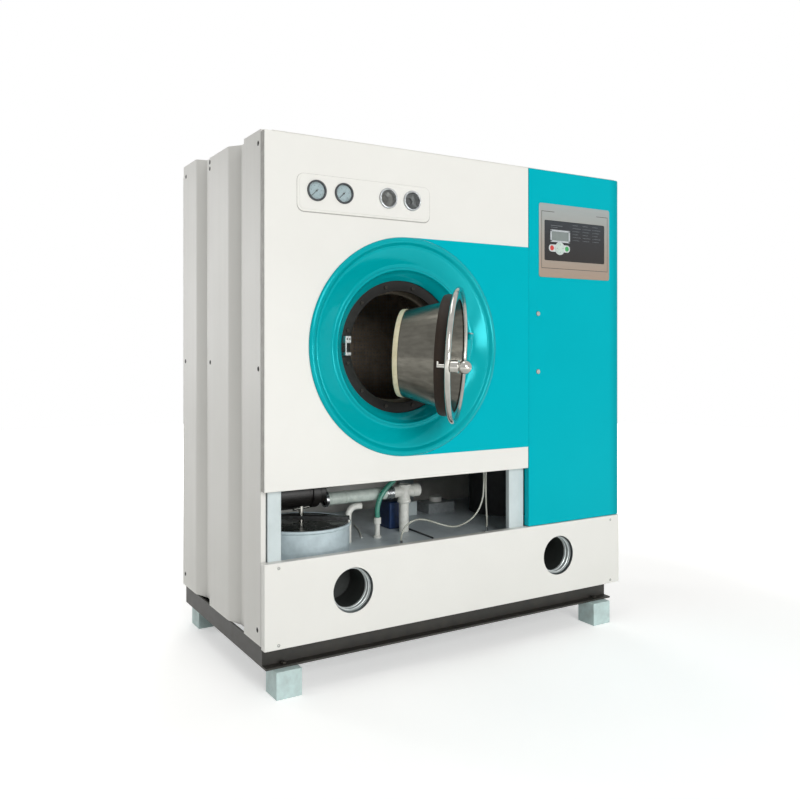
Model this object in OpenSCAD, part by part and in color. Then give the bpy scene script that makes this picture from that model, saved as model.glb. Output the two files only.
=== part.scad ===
// Dry cleaning machine: folded steel casing on an angle-iron base, dished round
// loading door, drum and tub, solvent tank with filter, still, fan and controls.
// Millimetres, +Z up, the front looks along -Y. The pieces are drawn in cabinet
// coordinates (x from the left side, y back from the front panels, z up from the
// floor) and seated() moves them so that the origin is on the floor, in the
// middle of the machine as it stands with its loading door open.

/* [Cabinet] */
// Width over the side panels
cabinet_w = 1450; // [1430:5:1500]
// Depth from the front panels to the rear panel
cabinet_d = 806; // [800:2:860]
// Height of the top edge of the front panels
cabinet_top = 1676; // [1660:2:1720]
// Top edge of the side panels, which hide the top cover
side_top = 1690; // [1686:2:1740]
// Top edge of the side sheets: lower at the front flat, higher at the rear flat
side_front_drop = 7; // [5:1:9]
side_rear_rise = 25; // [20:1:28]
// How much the top edge falls from each bend to the bottom of the rib before it
side_rib_fall = [6, 12];
// Bottom edge of the lower front skirt
skirt_bottom = 137; // [132:1:140]
// Top edge of the skirt, the sill of the service bay
bay_sill = 395; // [390:1:410]
// Top of the service bay, the bottom edge of the white panel
bay_head = 606; // [600:1:620]
// Width of the white front panel, left of the cabinet door
panel_w = 1001; // [995:1:1010]
// Thickness of the casing sheet
sheet_t = 1.5; // [1.2:0.1:2]
// Depth of the folded edge of the front panels at the left side
side_return = 30; // [28:1:34]
// Depth of the other folded edges of the front panels
front_return = 25; // [22:1:25]
// Depth of the folded edge of the cabinet door
door_return = 28; // [24:1:29]
// Gap round the cabinet door
door_gap = 2; // [1.5:0.5:3]

/* [Side panels] */
// Depth of the pressed steps in the side panels
rib_depth = 22; // [16:1:28]
// Width of the folded edges of the side panels
side_flange = 16; // [12:1:17]
// End of the first outer flat, from the front panels
flat_a_end = 171; // [160:1:180]
// Start of the slope up to the second flat
slope_b = 248; // [236:1:262]
// Start and end of the second flat
flat_b = 312; // [304:1:330]
flat_b_end = 503; // [490:1:515]
// Start of the slope up to the third flat
slope_c = 592; // [580:1:605]
// Start of the third flat
flat_c = 652; // [644:1:664]

/* [Base] */
// Height and width of the square feet
foot_h = 82; // [78:1:86]
foot_w = 82; // [70:1:90]
// Left side of the left feet, and how far the front feet stand forward
foot_x = 26; // [15:1:26]
foot_forward = 28; // [10:1:34]
// Leg and thickness of the base angle iron
angle_leg = 61; // [58:1:62]
angle_t = 6; // [5:0.5:8]
// Clear margin of the base frame at the left and right
frame_left = 4; // [3:1:8]
frame_right = 48; // [40:1:52]
// Depth of the base frame
frame_d = 785; // [780:1:790]
// Setback of the front angle's upright leg
frame_setback = 30; // [28:1:30]
// Width of the bearers that carry the tank
bearer_w = 50; // [40:1:60]
// Radius of the foot bolts
foot_bolt_r = 5; // [4:0.5:6]

/* [Posts and rails] */
// Width and depth of the corner posts
post_w = 44; // [40:1:46]
// Depth of the front middle post
mid_post_d = 20; // [16:1:22]
// Width of the front middle post
mid_post_w = 66; // [60:1:70]
// Height of the rails
rail_h = 34; // [30:1:36]
// Width of the rails that carry the tub
tub_rail_w = 40; // [36:1:44]
// Weld gap between frame members
weld_gap = 0.3; // [0.2:0.1:0.4]

/* [Door surround] */
// Centre of the round opening from the left side and the floor
ring_x = 497; // [490:1:504]
ring_z = 1037; // [1030:1:1044]
// Outer radius of the pressed ring
ring_r = 355; // [350:1:360]
// Radius of the inner collar of the ring
collar_r = 218; // [217:0.5:219]
// Depth of the collar's back edge behind the front panels
collar_back = 56; // [54:1:58]
// Height of the rolled lip in front of the panels
lip_h = 8; // [6:0.5:9]
// Clearance between the ring and the hole in the front panel
ring_clear = 9; // [8:0.5:10]

/* [Loading door] */
// Outer radius of the door rim
rim_r = 213; // [211:0.5:213]
// Radius of the rolled edge of the rim
bead_r = 7; // [6:0.5:7.5]
// Middle of the rim behind the front panels when the door is shut
rim_y = 12; // [10:0.5:13]
// Radius of the dish at the rim and at the window
dish_r = 176; // [174:0.5:177]
window_r = 133; // [128:0.5:134]
// Depth of the dish
dish_depth = 176; // [160:1:178]
// Thickness of the dish's sheet
dish_t = 2; // [1.5:0.1:2.4]
// Outer radius of the rubber seal
seal_r = 191; // [190:0.5:192]
// Clearance between the shut seal and its seat
seal_clear = 0.3; // [0.3:0.1:1]
// Width of the window gasket
gasket_w = 16; // [14:0.5:18]
// Thickness of the window glass
glass_t = 4; // [3:0.5:5]
// Hinge line to the right of the door's centre
hinge_out = 243; // [242:0.5:245]
// Hinge line behind the front panels
hinge_y = 3; // [2:0.5:4]
// Lean of the hinge line to the right and to the front, in degrees
lean_right = 6.4; // [5:0.1:7]
lean_front = 6.3; // [5:0.1:7]
// Half length of the hinge arm's barrel
barrel_half = 30; // [26:1:32]
// Thickness of the hinge ears
ear_t = 14; // [10:1:16]
// Radius of the hinge pin
hinge_pin_r = 6; // [5:0.5:6.5]
// How far the door stands open from shut, in degrees
door_open = 48; // [40:1:55]
// Radial running clearance of pins and shafts
run_clear = 0.05; // [0.03:0.01:0.08]

/* [Door latch] */
// Latch spindle to the left of the door's centre and below it
latch_out = 199; // [198.5:0.5:200]
latch_drop = 6; // [4:1:8]
// Radius of the latch spindle
spindle_r = 6; // [5:0.5:6.5]
// Radius and length of the knob's neck
neck_r = 19; // [16:0.5:19]
neck_l = 30; // [26:1:34]
// Radius of the knob's ball
ball_r = 20.5; // [18:0.5:22]
// Length of the latch tongue from the spindle's centre
tongue_l = 14; // [12:0.5:14]
// Thickness of the latch tongue
tongue_t = 6; // [5:0.5:7]
// Width of the keeper and height above and below the door's centre
keeper_w = 21; // [20:0.5:21]
keeper_up = 34; // [30:1:34]
keeper_down = 28; // [26:1:28]

/* [Drum and tub] */
// Radius of the mouth that the door closes
mouth_r = 184; // [183:0.5:185]
// Outer radius and thickness of the mouth plate
mouth_plate_r = 236; // [228:1:240]
mouth_plate_t = 4; // [3:0.5:5]
// Bolt circle and number of mouth plate bolts
mouth_bolt_circle = 200; // [199:0.5:203]
mouth_bolts = 12; // [10:1:12]
// Outer radius, length and wall of the tub
tub_r = 365; // [350:1:368]
tub_l = 460; // [450:1:470]
tub_t = 3; // [2:0.5:4]
// Outer radius, length and wall of the drum
drum_r = 325; // [315:1:332]
drum_l = 392; // [380:1:400]
drum_t = 3; // [2:0.5:4]
// Radius of the drum's mouth
drum_mouth_r = 176; // [174:1:182]
// Gap between the tub's front wall and the drum
drum_gap = 37; // [32:1:42]
// Number of lifters in the drum
lifters = 3; // [3:1:4]
// Depth of the lifters
lifter_h = 68; // [50:1:80]
// Radius of the drum shaft
shaft_r = 20; // [18:0.5:24]
// Radius of the bearing housing's tube
bearing_r = 55; // [45:1:60]
// Length of the bearing housing behind the tub
bearing_l = 120; // [110:1:125]
// Radius of the drum pulley and of the motor pulley
drum_pulley_r = 190; // [170:1:195]
motor_pulley_r = 40; // [34:1:44]
// Width of the belt, and its thickness
belt_w = 24; // [20:1:26]
belt_t = 6; // [4:0.5:7]
// Radius and length of the drum motor
motor_r = 75; // [70:1:78]
motor_l = 220; // [200:1:225]
// Motor centre from the left side, and above the rails
motor_x = 175; // [165:1:180]
motor_rise = 80; // [79:1:84]
// Radius of the motor shaft
motor_shaft_r = 9.5; // [8:0.5:11]

/* [Air circuit] */
// Left and right side of the heater and condenser case
duct_x0 = 700; // [695:1:720]
duct_x1 = 1010; // [1000:1:1020]
// Bottom of the case
duct_z0 = 1250; // [1240:1:1260]
// Radius and depth of the fan housing
fan_case_r = 150; // [130:1:155]
fan_case_l = 120; // [110:1:130]
// Radius of the fan wheel
fan_r = 120; // [100:1:124]
// Number of fan blades
fan_blades = 12; // [8:1:16]
// Radius of the exhaust spigot and its length outside the rear panel
spigot_r = 40; // [36:1:44]
spigot_out = 60; // [50:1:70]
// Gap between the air duct and the rear panel
duct_clear = 46; // [40:1:60]
// Louvres in the rear panel: width, right ends from the right side
louvre_w = 280; // [200:5:300]
louvre_in = 90; // [80:1:110]

/* [Tank, filter and still] */
// Top of the tank
tank_top = 365; // [362:1:368]
// Front of the tank body behind the front panels
tank_front = 150; // [145:1:155]
// Plate thickness of the tank
tank_t = 3; // [2:0.5:4]
// Centre of the skirt's round openings: left, right and height
neck_x0 = 296; // [290:1:300]
neck_x1 = 1143; // [1138:1:1150]
neck_z = 277; // [274:1:280]
// Radius of the skirt's openings and of the tank necks inside
skirt_hole_r = 70.5; // [69:0.5:72]
neck_r_out = 67; // [65:0.5:68]
neck_wall = 2; // [1.5:0.5:3]
// Filter can: centre, radius and height above the tank
can_x = 218; // [214:1:222]
can_y = 222; // [220:1:226]
can_r = 160; // [150:1:162]
can_h = 96; // [90:1:100]
// Angle of the clamp bar across the filter lid, in degrees
clamp_turn = -37; // [-45:1:-30]
// Still: centre, radius and height above the tank
still_x = 1225; // [1200:1:1230]
still_y = 430; // [420:1:450]
still_r = 140; // [120:1:145]
still_h = 420; // [380:1:450]

/* [Service bay] */
// Pump motor: centre below the rails, back from the front, radius, length
pump_drop = 62; // [58:1:66]
pump_y = 300; // [290:1:310]
pump_r = 56; // [50:1:58]
pump_l = 160; // [140:1:170]
// Right end of the pump motor, left of the door's centre
pump_left = 190; // [180:1:200]
// Delivery pipe: radius, back from the front, height above the tank
pipe_r = 22; // [18:0.5:24]
pipe_y = 285; // [280:1:290]
pipe_rise = 148; // [140:1:156]
// Left end and length of the pipe's coupling
coupling_x = 575; // [560:1:580]
coupling_l = 30; // [24:1:32]
// Centre of the drain tee
tee_x = 655; // [650:1:660]

/* [Gauges] */
// Gauge plate: left and right, its top edge below the panel's top edge, its height
gauge_plate_x0 = 104; // [100:1:110]
gauge_plate_x1 = 579; // [572:1:584]
gauge_plate_drop = 116; // [110:1:122]
gauge_plate_h = 114; // [108:1:118]
// Thickness of the gauge plate
gauge_plate_t = 3; // [2:0.5:4]
// First gauge, distance between the gauges, first sight glass, distance between these
gauge_x = 168; // [160:1:172]
gauge_pitch = 93; // [90:1:96]
sight_x = 419; // [410:1:424]
sight_pitch = 90; // [86:1:92]
// Row of gauges below the panel's top edge
gauge_drop = 165; // [161:1:171]
// Radius of the bezels
bezel_r = 32.5; // [31:0.5:34]
// Radius of the gauge bodies behind the panel
gauge_body_r = 28; // [27:0.5:28.5]
// Angle of the needles right of straight up, in degrees, at the zero of the scale
needle_angle = -135; // [-150:5:-120]
// Radius of the needle pivots
pivot_r = 1.5; // [1.2:0.1:1.8]

/* [Controls] */
// Control plate: left and right, its top edge below the door's top edge, its height
control_x0 = 1049; // [1044:1:1052]
control_x1 = 1396; // [1390:1:1400]
control_drop = 119; // [114:1:124]
control_h = 267; // [262:1:272]
// Thickness of the control plate
control_t = 3; // [2.5:0.5:4]
// Margins of the dark window inside the plate: left, right, bottom and top
window_left = 24; // [20:1:28]
window_right = 26; // [22:1:30]
window_low = 61; // [56:1:64]
window_high = 60; // [56:1:64]
// Screen bezel from the window's left and top edges, its width and height
screen_left = 28; // [24:1:32]
screen_drop = 33; // [30:1:36]
screen_w = 95; // [88:1:98]
screen_h = 45; // [40:1:48]
// Width of the bezel round the screen
screen_rim = 10; // [8:1:12]
// Keys: row height above the window's bottom edge
key_row = 46; // [42:1:48]
// Stop key, direction pad and start key from the window's left edge
stop_key_x = 36; // [34:1:38]
pad_x = 74; // [73:1:76]
start_key_x = 108; // [108:1:112]
// Radius of the round keys and of the direction pad
key_r = 8; // [7:0.5:8.5]
pad_r = 20; // [18:0.5:20.5]
// Clearance round the keys, and their travel
key_clear = 0.4; // [0.3:0.1:0.6]
key_travel = 1.2; // [0.8:0.1:1.4]

/* [Cabinet door] */
// Lower hinge above the sill of the bay, upper hinge below the door's top edge
hinge_rise = 125; // [105:5:165]
hinge_drop = 86; // [76:5:96]
// Hinge line from the right side and from the front
hinge_in = 12; // [11:0.5:13]
// Radius of the cabinet hinge pins and of their knuckles
cab_pin_r = 4; // [3.5:0.5:4.5]
knuckle_r = 7; // [6.5:0.5:7.5]
// Half length of the knuckles
knuckle_half = 15; // [12:1:18]
// Locks: distance from the door's left edge, heights
lock_in = 43; // [40:1:46]
lock_low = 949; // [940:1:960]
lock_high = 1157; // [1150:1:1165]
// Radius of the lock barrels and of their heads
lock_r = 5; // [4:0.5:6]
lock_head_r = 8; // [7:0.5:9]
// Length of the lock cams
cam_l = 56; // [54:1:60]

/* [Hidden] */
$fn = 64;

// Paint and metal colours, as they look in daylight
white_paint = "#ecebe6";
side_paint = "#dcdbd6";
teal_paint = "#02a9b2";
post_paint = "#c9d4d5";
black_paint = "#1a1916";
steel = "#b9bab8";
chrome = "#d9dadb";

cut = 1;                               // how far a cutting body runs past a face
frame_top = foot_h + angle_leg;        // top of the base frame, where the posts stand
frame_x1 = cabinet_w - frame_right;
flange_top = foot_h + angle_t;
post_x = foot_x - 6;                   // left side of the left posts
right_post_x = cabinet_w - post_x;     // right side of the right posts
post_front = front_return;             // front face of the front posts
mid_post_x1 = panel_w - sheet_t;       // the white panel's right fold lies on this post
mid_post_x0 = mid_post_x1 - mid_post_w;
rear_post_y = frame_d - post_w;
right_post_y = door_return + 8;        // clear of the cabinet door's folded edges
rail_low = bay_head;
rail_seat = rail_low + rail_h;         // the tub, the motor and the duct stand on these rails
rail_top1 = cabinet_top - 6;
rail_top0 = rail_top1 - rail_h;

// Loading door
hinge_at = [ring_x + hinge_out, hinge_y, ring_z];
hinge_dir = [tan(lean_right), -tan(lean_front), 1];
lean = acos(1 / norm(hinge_dir));
rim_back = rim_y + bead_r;
web_t = 6;                             // the rim's flat web, inside its rolled edge
web_y0 = rim_y - web_t / 2;
web_y1 = rim_y + web_t / 2;
rim_in = dish_r + dish_t + 0.1;
dish_back = web_y0 + dish_depth;
ball_y = web_y0 - neck_l - ball_r * 0.82;
knob_from_hinge = [-hinge_out - latch_out, ball_y - hinge_y, -latch_drop];
function turned(v, k, a) = v * cos(a) + cross(k, v) * sin(a) + k * (k * v) * (1 - cos(a));
knob_reach = turned(knob_from_hinge, hinge_dir / norm(hinge_dir), door_open);
front_reach = hinge_y + knob_reach.y - ball_r;

// Drum and tub, from front to back
tub_front = collar_back + mouth_plate_t;
tub_back = tub_front + tub_l;
drum_front = tub_front + drum_gap;
drum_back = drum_front + drum_l;
hub_gap = 4;                           // shaft flange to the tub's back wall
shaft_flange_t = tub_back - 9 - hub_gap - drum_back;
bearing_back = tub_back + bearing_l;
pulley_y = bearing_back + 12;
pulley_w = belt_w + 6;
tub_rail_x = [ring_x - 200, ring_x + 180];
motor_z = rail_seat + motor_rise;
motor_y1 = pulley_y - 12;
drain_x = 633;
drain_y = 268;
drain_z = ring_z - tub_r - 2;
motor_y0 = motor_y1 - motor_l;

// Air circuit
duct_y0 = tub_back;
duct_y1 = cabinet_d - duct_clear;
duct_z1 = rail_top0 - 10;
fan_x = duct_x1 + fan_case_r + 20;
fan_z = duct_z1 - fan_case_r - 40;
fan_y0 = duct_y0 + 40;
fan_y1 = fan_y0 + fan_case_l;
fan_shaft_r = 8;
spigot_x = (duct_x0 + duct_x1) / 2;
spigot_z = duct_z1 - 120;
back_reach = cabinet_d + spigot_out;
origin_y = (back_reach + front_reach) / 2;
gland_x = cabinet_w - 150;
gland_z = 300;
gland_r = 8;

// Tank and what stands on it
tank_x0 = post_x + post_w + 6;
tank_x1 = right_post_x - post_w - 6;
tank_y1 = rear_post_y - 4;
deck_y0 = tank_front / 2;
can_top = tank_top + can_h;
lid_t = 10;
bar_z = can_top + 8;
bar_t = 12;

// Gauges and controls
gauge_plate_z1 = cabinet_top - gauge_plate_drop;
gauge_plate_z0 = gauge_plate_z1 - gauge_plate_h;
gauge_z = cabinet_top - gauge_drop;
control_z1 = cabinet_top - control_drop;
control_z0 = control_z1 - control_h;
hinge_low = bay_sill + hinge_rise;
hinge_high = cabinet_top - hinge_drop;
window_x0 = control_x0 + window_left;
window_x1 = control_x1 - window_right;
window_z0 = control_z0 + window_low;
window_z1 = control_z1 - window_high;
glass_front = control_t - 0.6;
key_z = window_z0 + key_row;
door_x0 = panel_w + door_gap;
door_z0 = bay_sill + door_gap;
cab_hinge_x = cabinet_w - hinge_in;
lock_x = door_x0 + lock_in;

// ---------------------------------------------------------------- helpers

// Moves a piece from cabinet coordinates to the machine's origin
module seated() translate([-cabinet_w / 2, -origin_y, 0]) children();

// A box from its two corners, axis by axis
module slab(x, y, z) translate([x[0], y[0], z[0]]) cube([x[1] - x[0], y[1] - y[0], z[1] - z[0]]);

// A round bar along Y
module rod_y(r, y0, y1) translate([0, y0, 0]) rotate([-90, 0, 0]) cylinder(r = r, h = y1 - y0);

// A round bar along X
module rod_x(r, x0, x1) translate([x0, 0, 0]) rotate([0, 90, 0]) cylinder(r = r, h = x1 - x0);

// A washer or tube along Y
module ring_y(r_out, r_in, y0, y1) difference() {
    rod_y(r_out, y0, y1);
    rod_y(r_in, y0 - cut, y1 + cut);
}

// A body of revolution about Y, from points [radius, y]
module lathe_y(points) rotate([-90, 0, 0]) rotate_extrude() polygon(points);

// Puts children on the axis of the round opening
module at_ring() translate([ring_x, 0, ring_z]) children();

// Turns the loading door from shut to where it stands open
module swung() translate(hinge_at) rotate(a = door_open, v = hinge_dir) translate(-hinge_at) children();

// Stands children up along the leaning hinge line
module along_hinge() translate(hinge_at) rotate(a = lean, v = [-hinge_dir.y, hinge_dir.x, 0]) children();

// A plate in the XZ plane with round corners
module round_plate(x, z, y, r) translate([0, y[1], 0]) rotate([90, 0, 0])
    linear_extrude(y[1] - y[0]) rounded_outline(x, z, r);

module rounded_outline(x, z, r) {
    translate([x[0] + r, z[0]]) square([x[1] - x[0] - 2 * r, z[1] - z[0]]);
    translate([x[0], z[0] + r]) square([x[1] - x[0], z[1] - z[0] - 2 * r]);
    for (cx = [x[0] + r, x[1] - r], cz = [z[0] + r, z[1] - r]) translate([cx, cz]) circle(r);
}

// A folded tray seen from the front: a face with edges folded back
module tray(x, z, left, right, low, high) difference() {
    slab(x, [0, max(left, right, low, high)], z);
    slab([x[0] + sheet_t, x[1] - sheet_t], [sheet_t, cabinet_d], [z[0] + sheet_t, z[1] - sheet_t]);
    slab([x[0] - cut, x[0] + sheet_t], [left, cabinet_d], [z[0] - cut, z[1] + cut]);
    slab([x[1] - sheet_t, x[1] + cut], [right, cabinet_d], [z[0] - cut, z[1] + cut]);
    slab([x[0] + sheet_t, x[1] - sheet_t], [low, cabinet_d], [z[0] - cut, z[0] + sheet_t + cut]);
    slab([x[0] + sheet_t, x[1] - sheet_t], [high, cabinet_d], [z[1] - sheet_t - cut, z[1] + cut]);
}

// A tube swept along points: rings of a few sides joined into one closed skin
function unit(v) = v / norm(v);
function path_dir(p, i) = unit(p[min(i + 1, len(p) - 1)] - p[max(i - 1, 0)]);
function ring_points(c, d, r, sides) = let (
        u = unit(cross(d, abs(d.z) > 0.9 ? [1, 0, 0] : [0, 0, 1])),
        w = cross(d, u)
    ) [for (k = [0:sides - 1]) c + r * (u * cos(360 * k / sides) + w * sin(360 * k / sides))];
module tube(path, r, sides = 10) {
    n = len(path);
    skin = [for (i = [0:n - 1], q = ring_points(path[i], path_dir(path, i), r, sides)) q];
    walls = [for (i = [0:n - 2], k = [0:sides - 1]) let (a = i * sides, m = (k + 1) % sides)
        [a + k, a + sides + k, a + sides + m, a + m]];
    polyhedron(skin, concat([[for (k = [0:sides - 1]) k]], walls,
        [[for (k = [sides - 1:-1:0]) (n - 1) * sides + k]]));
}

// Points of a smooth curve through a few chosen points
function smooth(p, i, t) = let (
        a = p[max(i - 1, 0)], b = p[i], c = p[i + 1], d = p[min(i + 2, len(p) - 1)]
    ) 0.5 * (2 * b + (c - a) * t + (2 * a - 5 * b + 4 * c - d) * t * t
        + (3 * b - a - 3 * c + d) * t * t * t);
function curve(p, steps) = concat(
    [for (i = [0:len(p) - 2], s = [0:steps - 1]) smooth(p, i, s / steps)], [p[len(p) - 1]]);

// ---------------------------------------------------------------- base

// Front angle turned out, the others turned in, and two bearers for the tank
module base_frame() color(black_paint) {
    difference() {
        union() {
            slab([frame_left, frame_x1], [0, frame_d], [foot_h, flange_top]);
            slab([frame_left, frame_x1], [frame_setback, frame_d], [flange_top, frame_top]);
        }
        slab([frame_left + bearer_w, frame_x1 - bearer_w],
            [frame_setback + angle_t, frame_d - bearer_w], [foot_h - cut, flange_top + cut]);
        slab([frame_left + angle_t, frame_x1 - angle_t],
            [frame_setback + angle_t, frame_d - angle_t], [flange_top, frame_top + cut]);
        foot_bolt_axes() cylinder(r = foot_bolt_r + 0.3, h = frame_top);
    }
    for (x = [ring_x, cabinet_w - ring_x])
        slab([x - bearer_w / 2, x + bearer_w / 2],
            [frame_setback + angle_t + weld_gap, frame_d - angle_t - weld_gap],
            [flange_top + weld_gap, frame_top]);
}

foot_places = [for (x = [foot_x, cabinet_w - 77 - foot_w], y = [-foot_forward, frame_d - 2 - foot_w]) [x, y]];

module feet() color("#bfd0cf") difference() {
    for (p = foot_places) slab([p.x, p.x + foot_w], [p.y, p.y + foot_w], [0, foot_h]);
    foot_bolt_axes() translate([0, 0, foot_h - 30]) cylinder(r = foot_bolt_r + 0.3, h = 31);
}

// One bolt through the flange into each foot
module foot_bolt_axes() for (p = foot_places)
    translate([p.x + foot_w / 2, p.y < 0 ? frame_setback / 2 : frame_d - bearer_w / 2, 0]) children();

module foot_bolts() color("#26241f") foot_bolt_axes() {
    translate([0, 0, foot_h - 28]) cylinder(r = foot_bolt_r, h = 28 + angle_t + cut);
    translate([0, 0, flange_top]) cylinder(r = foot_bolt_r * 1.8, h = foot_bolt_r * 1.4, $fn = 6);
}

// Every member is a bar of its own, from its two corners
module cabinet_frame() color(post_paint) {
    g = weld_gap;
    fy = [post_front, post_front + mid_post_d];
    ry = [frame_d - mid_post_d, frame_d];
    lx = [post_x, post_x + post_w];
    rx = [right_post_x - post_w, right_post_x];
    mx = [mid_post_x0, mid_post_x1];
    z = [frame_top, cabinet_top];
    side = rib_depth + sheet_t + 0.5;
    sl = [side, post_x + post_w];
    sr = [right_post_x - post_w, cabinet_w - side];
    slab(lx, [post_front, post_front + post_w], z);
    slab(mx, fy, z);
    slab(rx, [right_post_y, right_post_y + post_w], z);
    slab(lx, [rear_post_y, frame_d], z);
    slab(mx, ry, z);
    slab(rx, [rear_post_y, frame_d], z);
    for (zr = [[rail_low, rail_seat], [rail_top0, rail_top1]]) {
        slab([lx[1] + g, mx[0] - g], fy, zr);
        slab([lx[1] + g, mx[0] - g], ry, zr);
        slab([mx[1] + g, rx[0] - g], ry, zr);
        slab(sl, [post_front + post_w + g, rear_post_y - g], zr);
        slab(sr, [right_post_y + post_w + g, rear_post_y - g], zr);
    }
    for (x = tub_rail_x)
        slab([x - tub_rail_w / 2, x + tub_rail_w / 2], [fy[1] + g, ry[0] - g], [rail_low, rail_seat]);
    slab([mx[1] + g, rx[0] - g], [right_post_y, fy[1]], [rail_top0, rail_top1]);
}

// ---------------------------------------------------------------- casing

module front_panel() color(white_paint) difference() {
    tray([0, panel_w], [bay_head, cabinet_top], side_return, front_return, front_return, front_return);
    at_ring() rod_y(ring_r - ring_clear, -cut, sheet_t + cut);
    gauge_places() rod_y(gauge_body_r + 1, -cut, sheet_t + cut);
}

// The pressed ring in section: rolled lip, hollow band, ridge and funnel
lip = [[ring_r, 0], [ring_r - 3, 0.56], [ring_r - 10, 1], [ring_r - 17, 0.75], [ring_r - 22, 0.1]];
band = [[ring_r - 27, 2], [ring_r - 34, 1.5], [ring_r - 55, 8], [ring_r - 75, 14], [ring_r - 91, 19],
    [ring_r - 97, 17], [ring_r - 103, 15], [ring_r - 109, 19]];
funnel = [[collar_r + 22, 27], [collar_r + 12, collar_back - 19], [collar_r + 4, collar_back - 10],
    [collar_r, collar_back - 6]];
ring_face = concat([for (p = lip) [p[0], -sheet_t - p[1] * (lip_h - sheet_t)]], band, funnel);

module ring_section(depth) polygon(concat(ring_face,
    [for (i = [len(ring_face) - 1:-1:0]) [ring_face[i][0], ring_face[i][1] + depth]]));

module door_surround() color(teal_paint) {
    at_ring() {
        rotate([-90, 0, 0]) rotate_extrude($fn = 128) ring_section(sheet_t);
        ring_y(collar_r + sheet_t, collar_r, collar_back - 6, collar_back);
    }
    difference() {
        slab([ring_x, panel_w], [-sheet_t, 0], [ring_z - ring_r, ring_z + ring_r]);
        at_ring() rod_y(ring_r - 0.5, -sheet_t - cut, cut);
    }
}

module skirt_panel() color(white_paint) difference() {
    tray([0, cabinet_w], [skirt_bottom, bay_sill], front_return, front_return, front_return, front_return);
    for (x = [neck_x0, neck_x1]) translate([x, 0, neck_z]) rod_y(skirt_hole_r, -cut, sheet_t + cut);
    skirt_screw_axes() rod_y(2.6, -cut, sheet_t + cut);
}

module skirt_screw_axes() for (x = [45, cabinet_w - 28 - 18], z = [skirt_bottom + 13, bay_sill - 16])
    translate([x, 0, z]) children();

// Screws in the side sheets: back from the front, height, depth of the sheet there
side_screws = [[50, side_top - 46, 0], [flat_b_end - 5, side_top - 16, 0],
    [flat_b_end - 5, side_top - 38, 0], [cabinet_d - 32, side_top - 16, 0], [49, 970, 0],
    [198, 973, rib_depth], [flat_b_end - 9, 984, 0], [cabinet_d - 26, 984, 0],
    [57, frame_top + 45, 0], [cabinet_d - 26, frame_top + 46, 0]];

module panel_screws() {
    color("#a9aba6") skirt_screw_axes() {
        rod_y(5, -2.5, 0);
        rod_y(2.5, 0, 12);
    }
    color(black_paint) for (s = side_screws, side = [0, 1]) {
        translate([side * cabinet_w, s[0], s[1]]) mirror([side, 0, 0]) translate([s[2], 0, 0]) {
            rod_x(4.5, -2, 0);
            rod_x(2, 0, 12);
        }
    }
}

// Every bolt and screw that shows: feet, casing and mouth plate
module fasteners() {
    foot_bolts();
    panel_screws();
    plate_bolts();
}

// Pressed side sheet in plan: outer flats with slopes and steps between them
side_plan = let (t = sheet_t, f = side_flange, r = rib_depth, y0 = side_return, y1 = cabinet_d) [
    [f, y0], [0, y0], [0, flat_a_end], [r, flat_a_end + 2], [r, slope_b], [0, flat_b], [0, flat_b_end],
    [r, flat_b_end + 2], [r, slope_c], [0, flat_c], [0, y1], [f, y1], [f, y1 - t], [t, y1 - t],
    [t, flat_c], [r + t, slope_c], [r + t, flat_b_end + 2 - t], [t, flat_b_end - t], [t, flat_b],
    [r + t, slope_b], [r + t, flat_a_end + 2 - t], [t, flat_a_end - t], [t, y0 + t], [f, y0 + t]];

// The part of it behind the middle flat, whose top edge stands higher
side_rear_plan = [for (i = [7:16]) side_plan[i]];

// What is cut off above a rib: level over its bottom, then rising along its slope
module rib_top_cut(y0, y1, y2, top, fall) translate([-cut, 0, 0]) rotate([90, 0, 90])
    linear_extrude(rib_depth + sheet_t + 2 * cut)
        polygon([[y0, top - fall], [y1, top - fall], [y2, top], [y2, top + cut], [y0, top + cut]]);

module side_sheet() difference() {
    union() {
        translate([0, 0, frame_top + 2]) linear_extrude(side_top - frame_top - 2) polygon(side_plan);
        translate([0, 0, side_top - 1]) linear_extrude(side_rear_rise + 1) polygon(side_rear_plan);
    }
    slab([-cut, side_flange + cut], [side_return - cut, flat_a_end - sheet_t], [side_top - side_front_drop, side_top + cut]);
    rib_top_cut(flat_a_end - sheet_t, slope_b, flat_b, side_top, side_rib_fall[0]);
    rib_top_cut(flat_b_end, slope_c, flat_c, side_top + side_rear_rise, side_rib_fall[1]);
    for (s = side_screws) translate([s[2], s[0], s[1]]) rod_x(2.2, -cut, 14);
}

module side_panels() color(side_paint) {
    side_sheet();
    translate([cabinet_w, 0, 0]) mirror([1, 0, 0]) side_sheet();
}

// Rear sheet with the spigot hole, a louvred field and the cable gland
module rear_panel() color(side_paint) {
    difference() {
        slab([0, cabinet_w], [cabinet_d, cabinet_d + sheet_t], [frame_top + 2, cabinet_top]);
        translate([spigot_x, 0, spigot_z]) rod_y(spigot_r + 3, cabinet_d - cut, cabinet_d + sheet_t + cut);
        for (i = [0:9]) slab([cabinet_w - louvre_in - louvre_w, cabinet_w - louvre_in], [cabinet_d - cut, cabinet_d + sheet_t + cut],
            [700 + 24 * i, 708 + 24 * i]);
        translate([gland_x, 0, gland_z]) rod_y(gland_r, cabinet_d - cut, cabinet_d + sheet_t + cut);
    }
    translate([gland_x, 0, gland_z]) ring_y(gland_r + 6, gland_r, cabinet_d + sheet_t, cabinet_d + sheet_t + 18);
}

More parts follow.
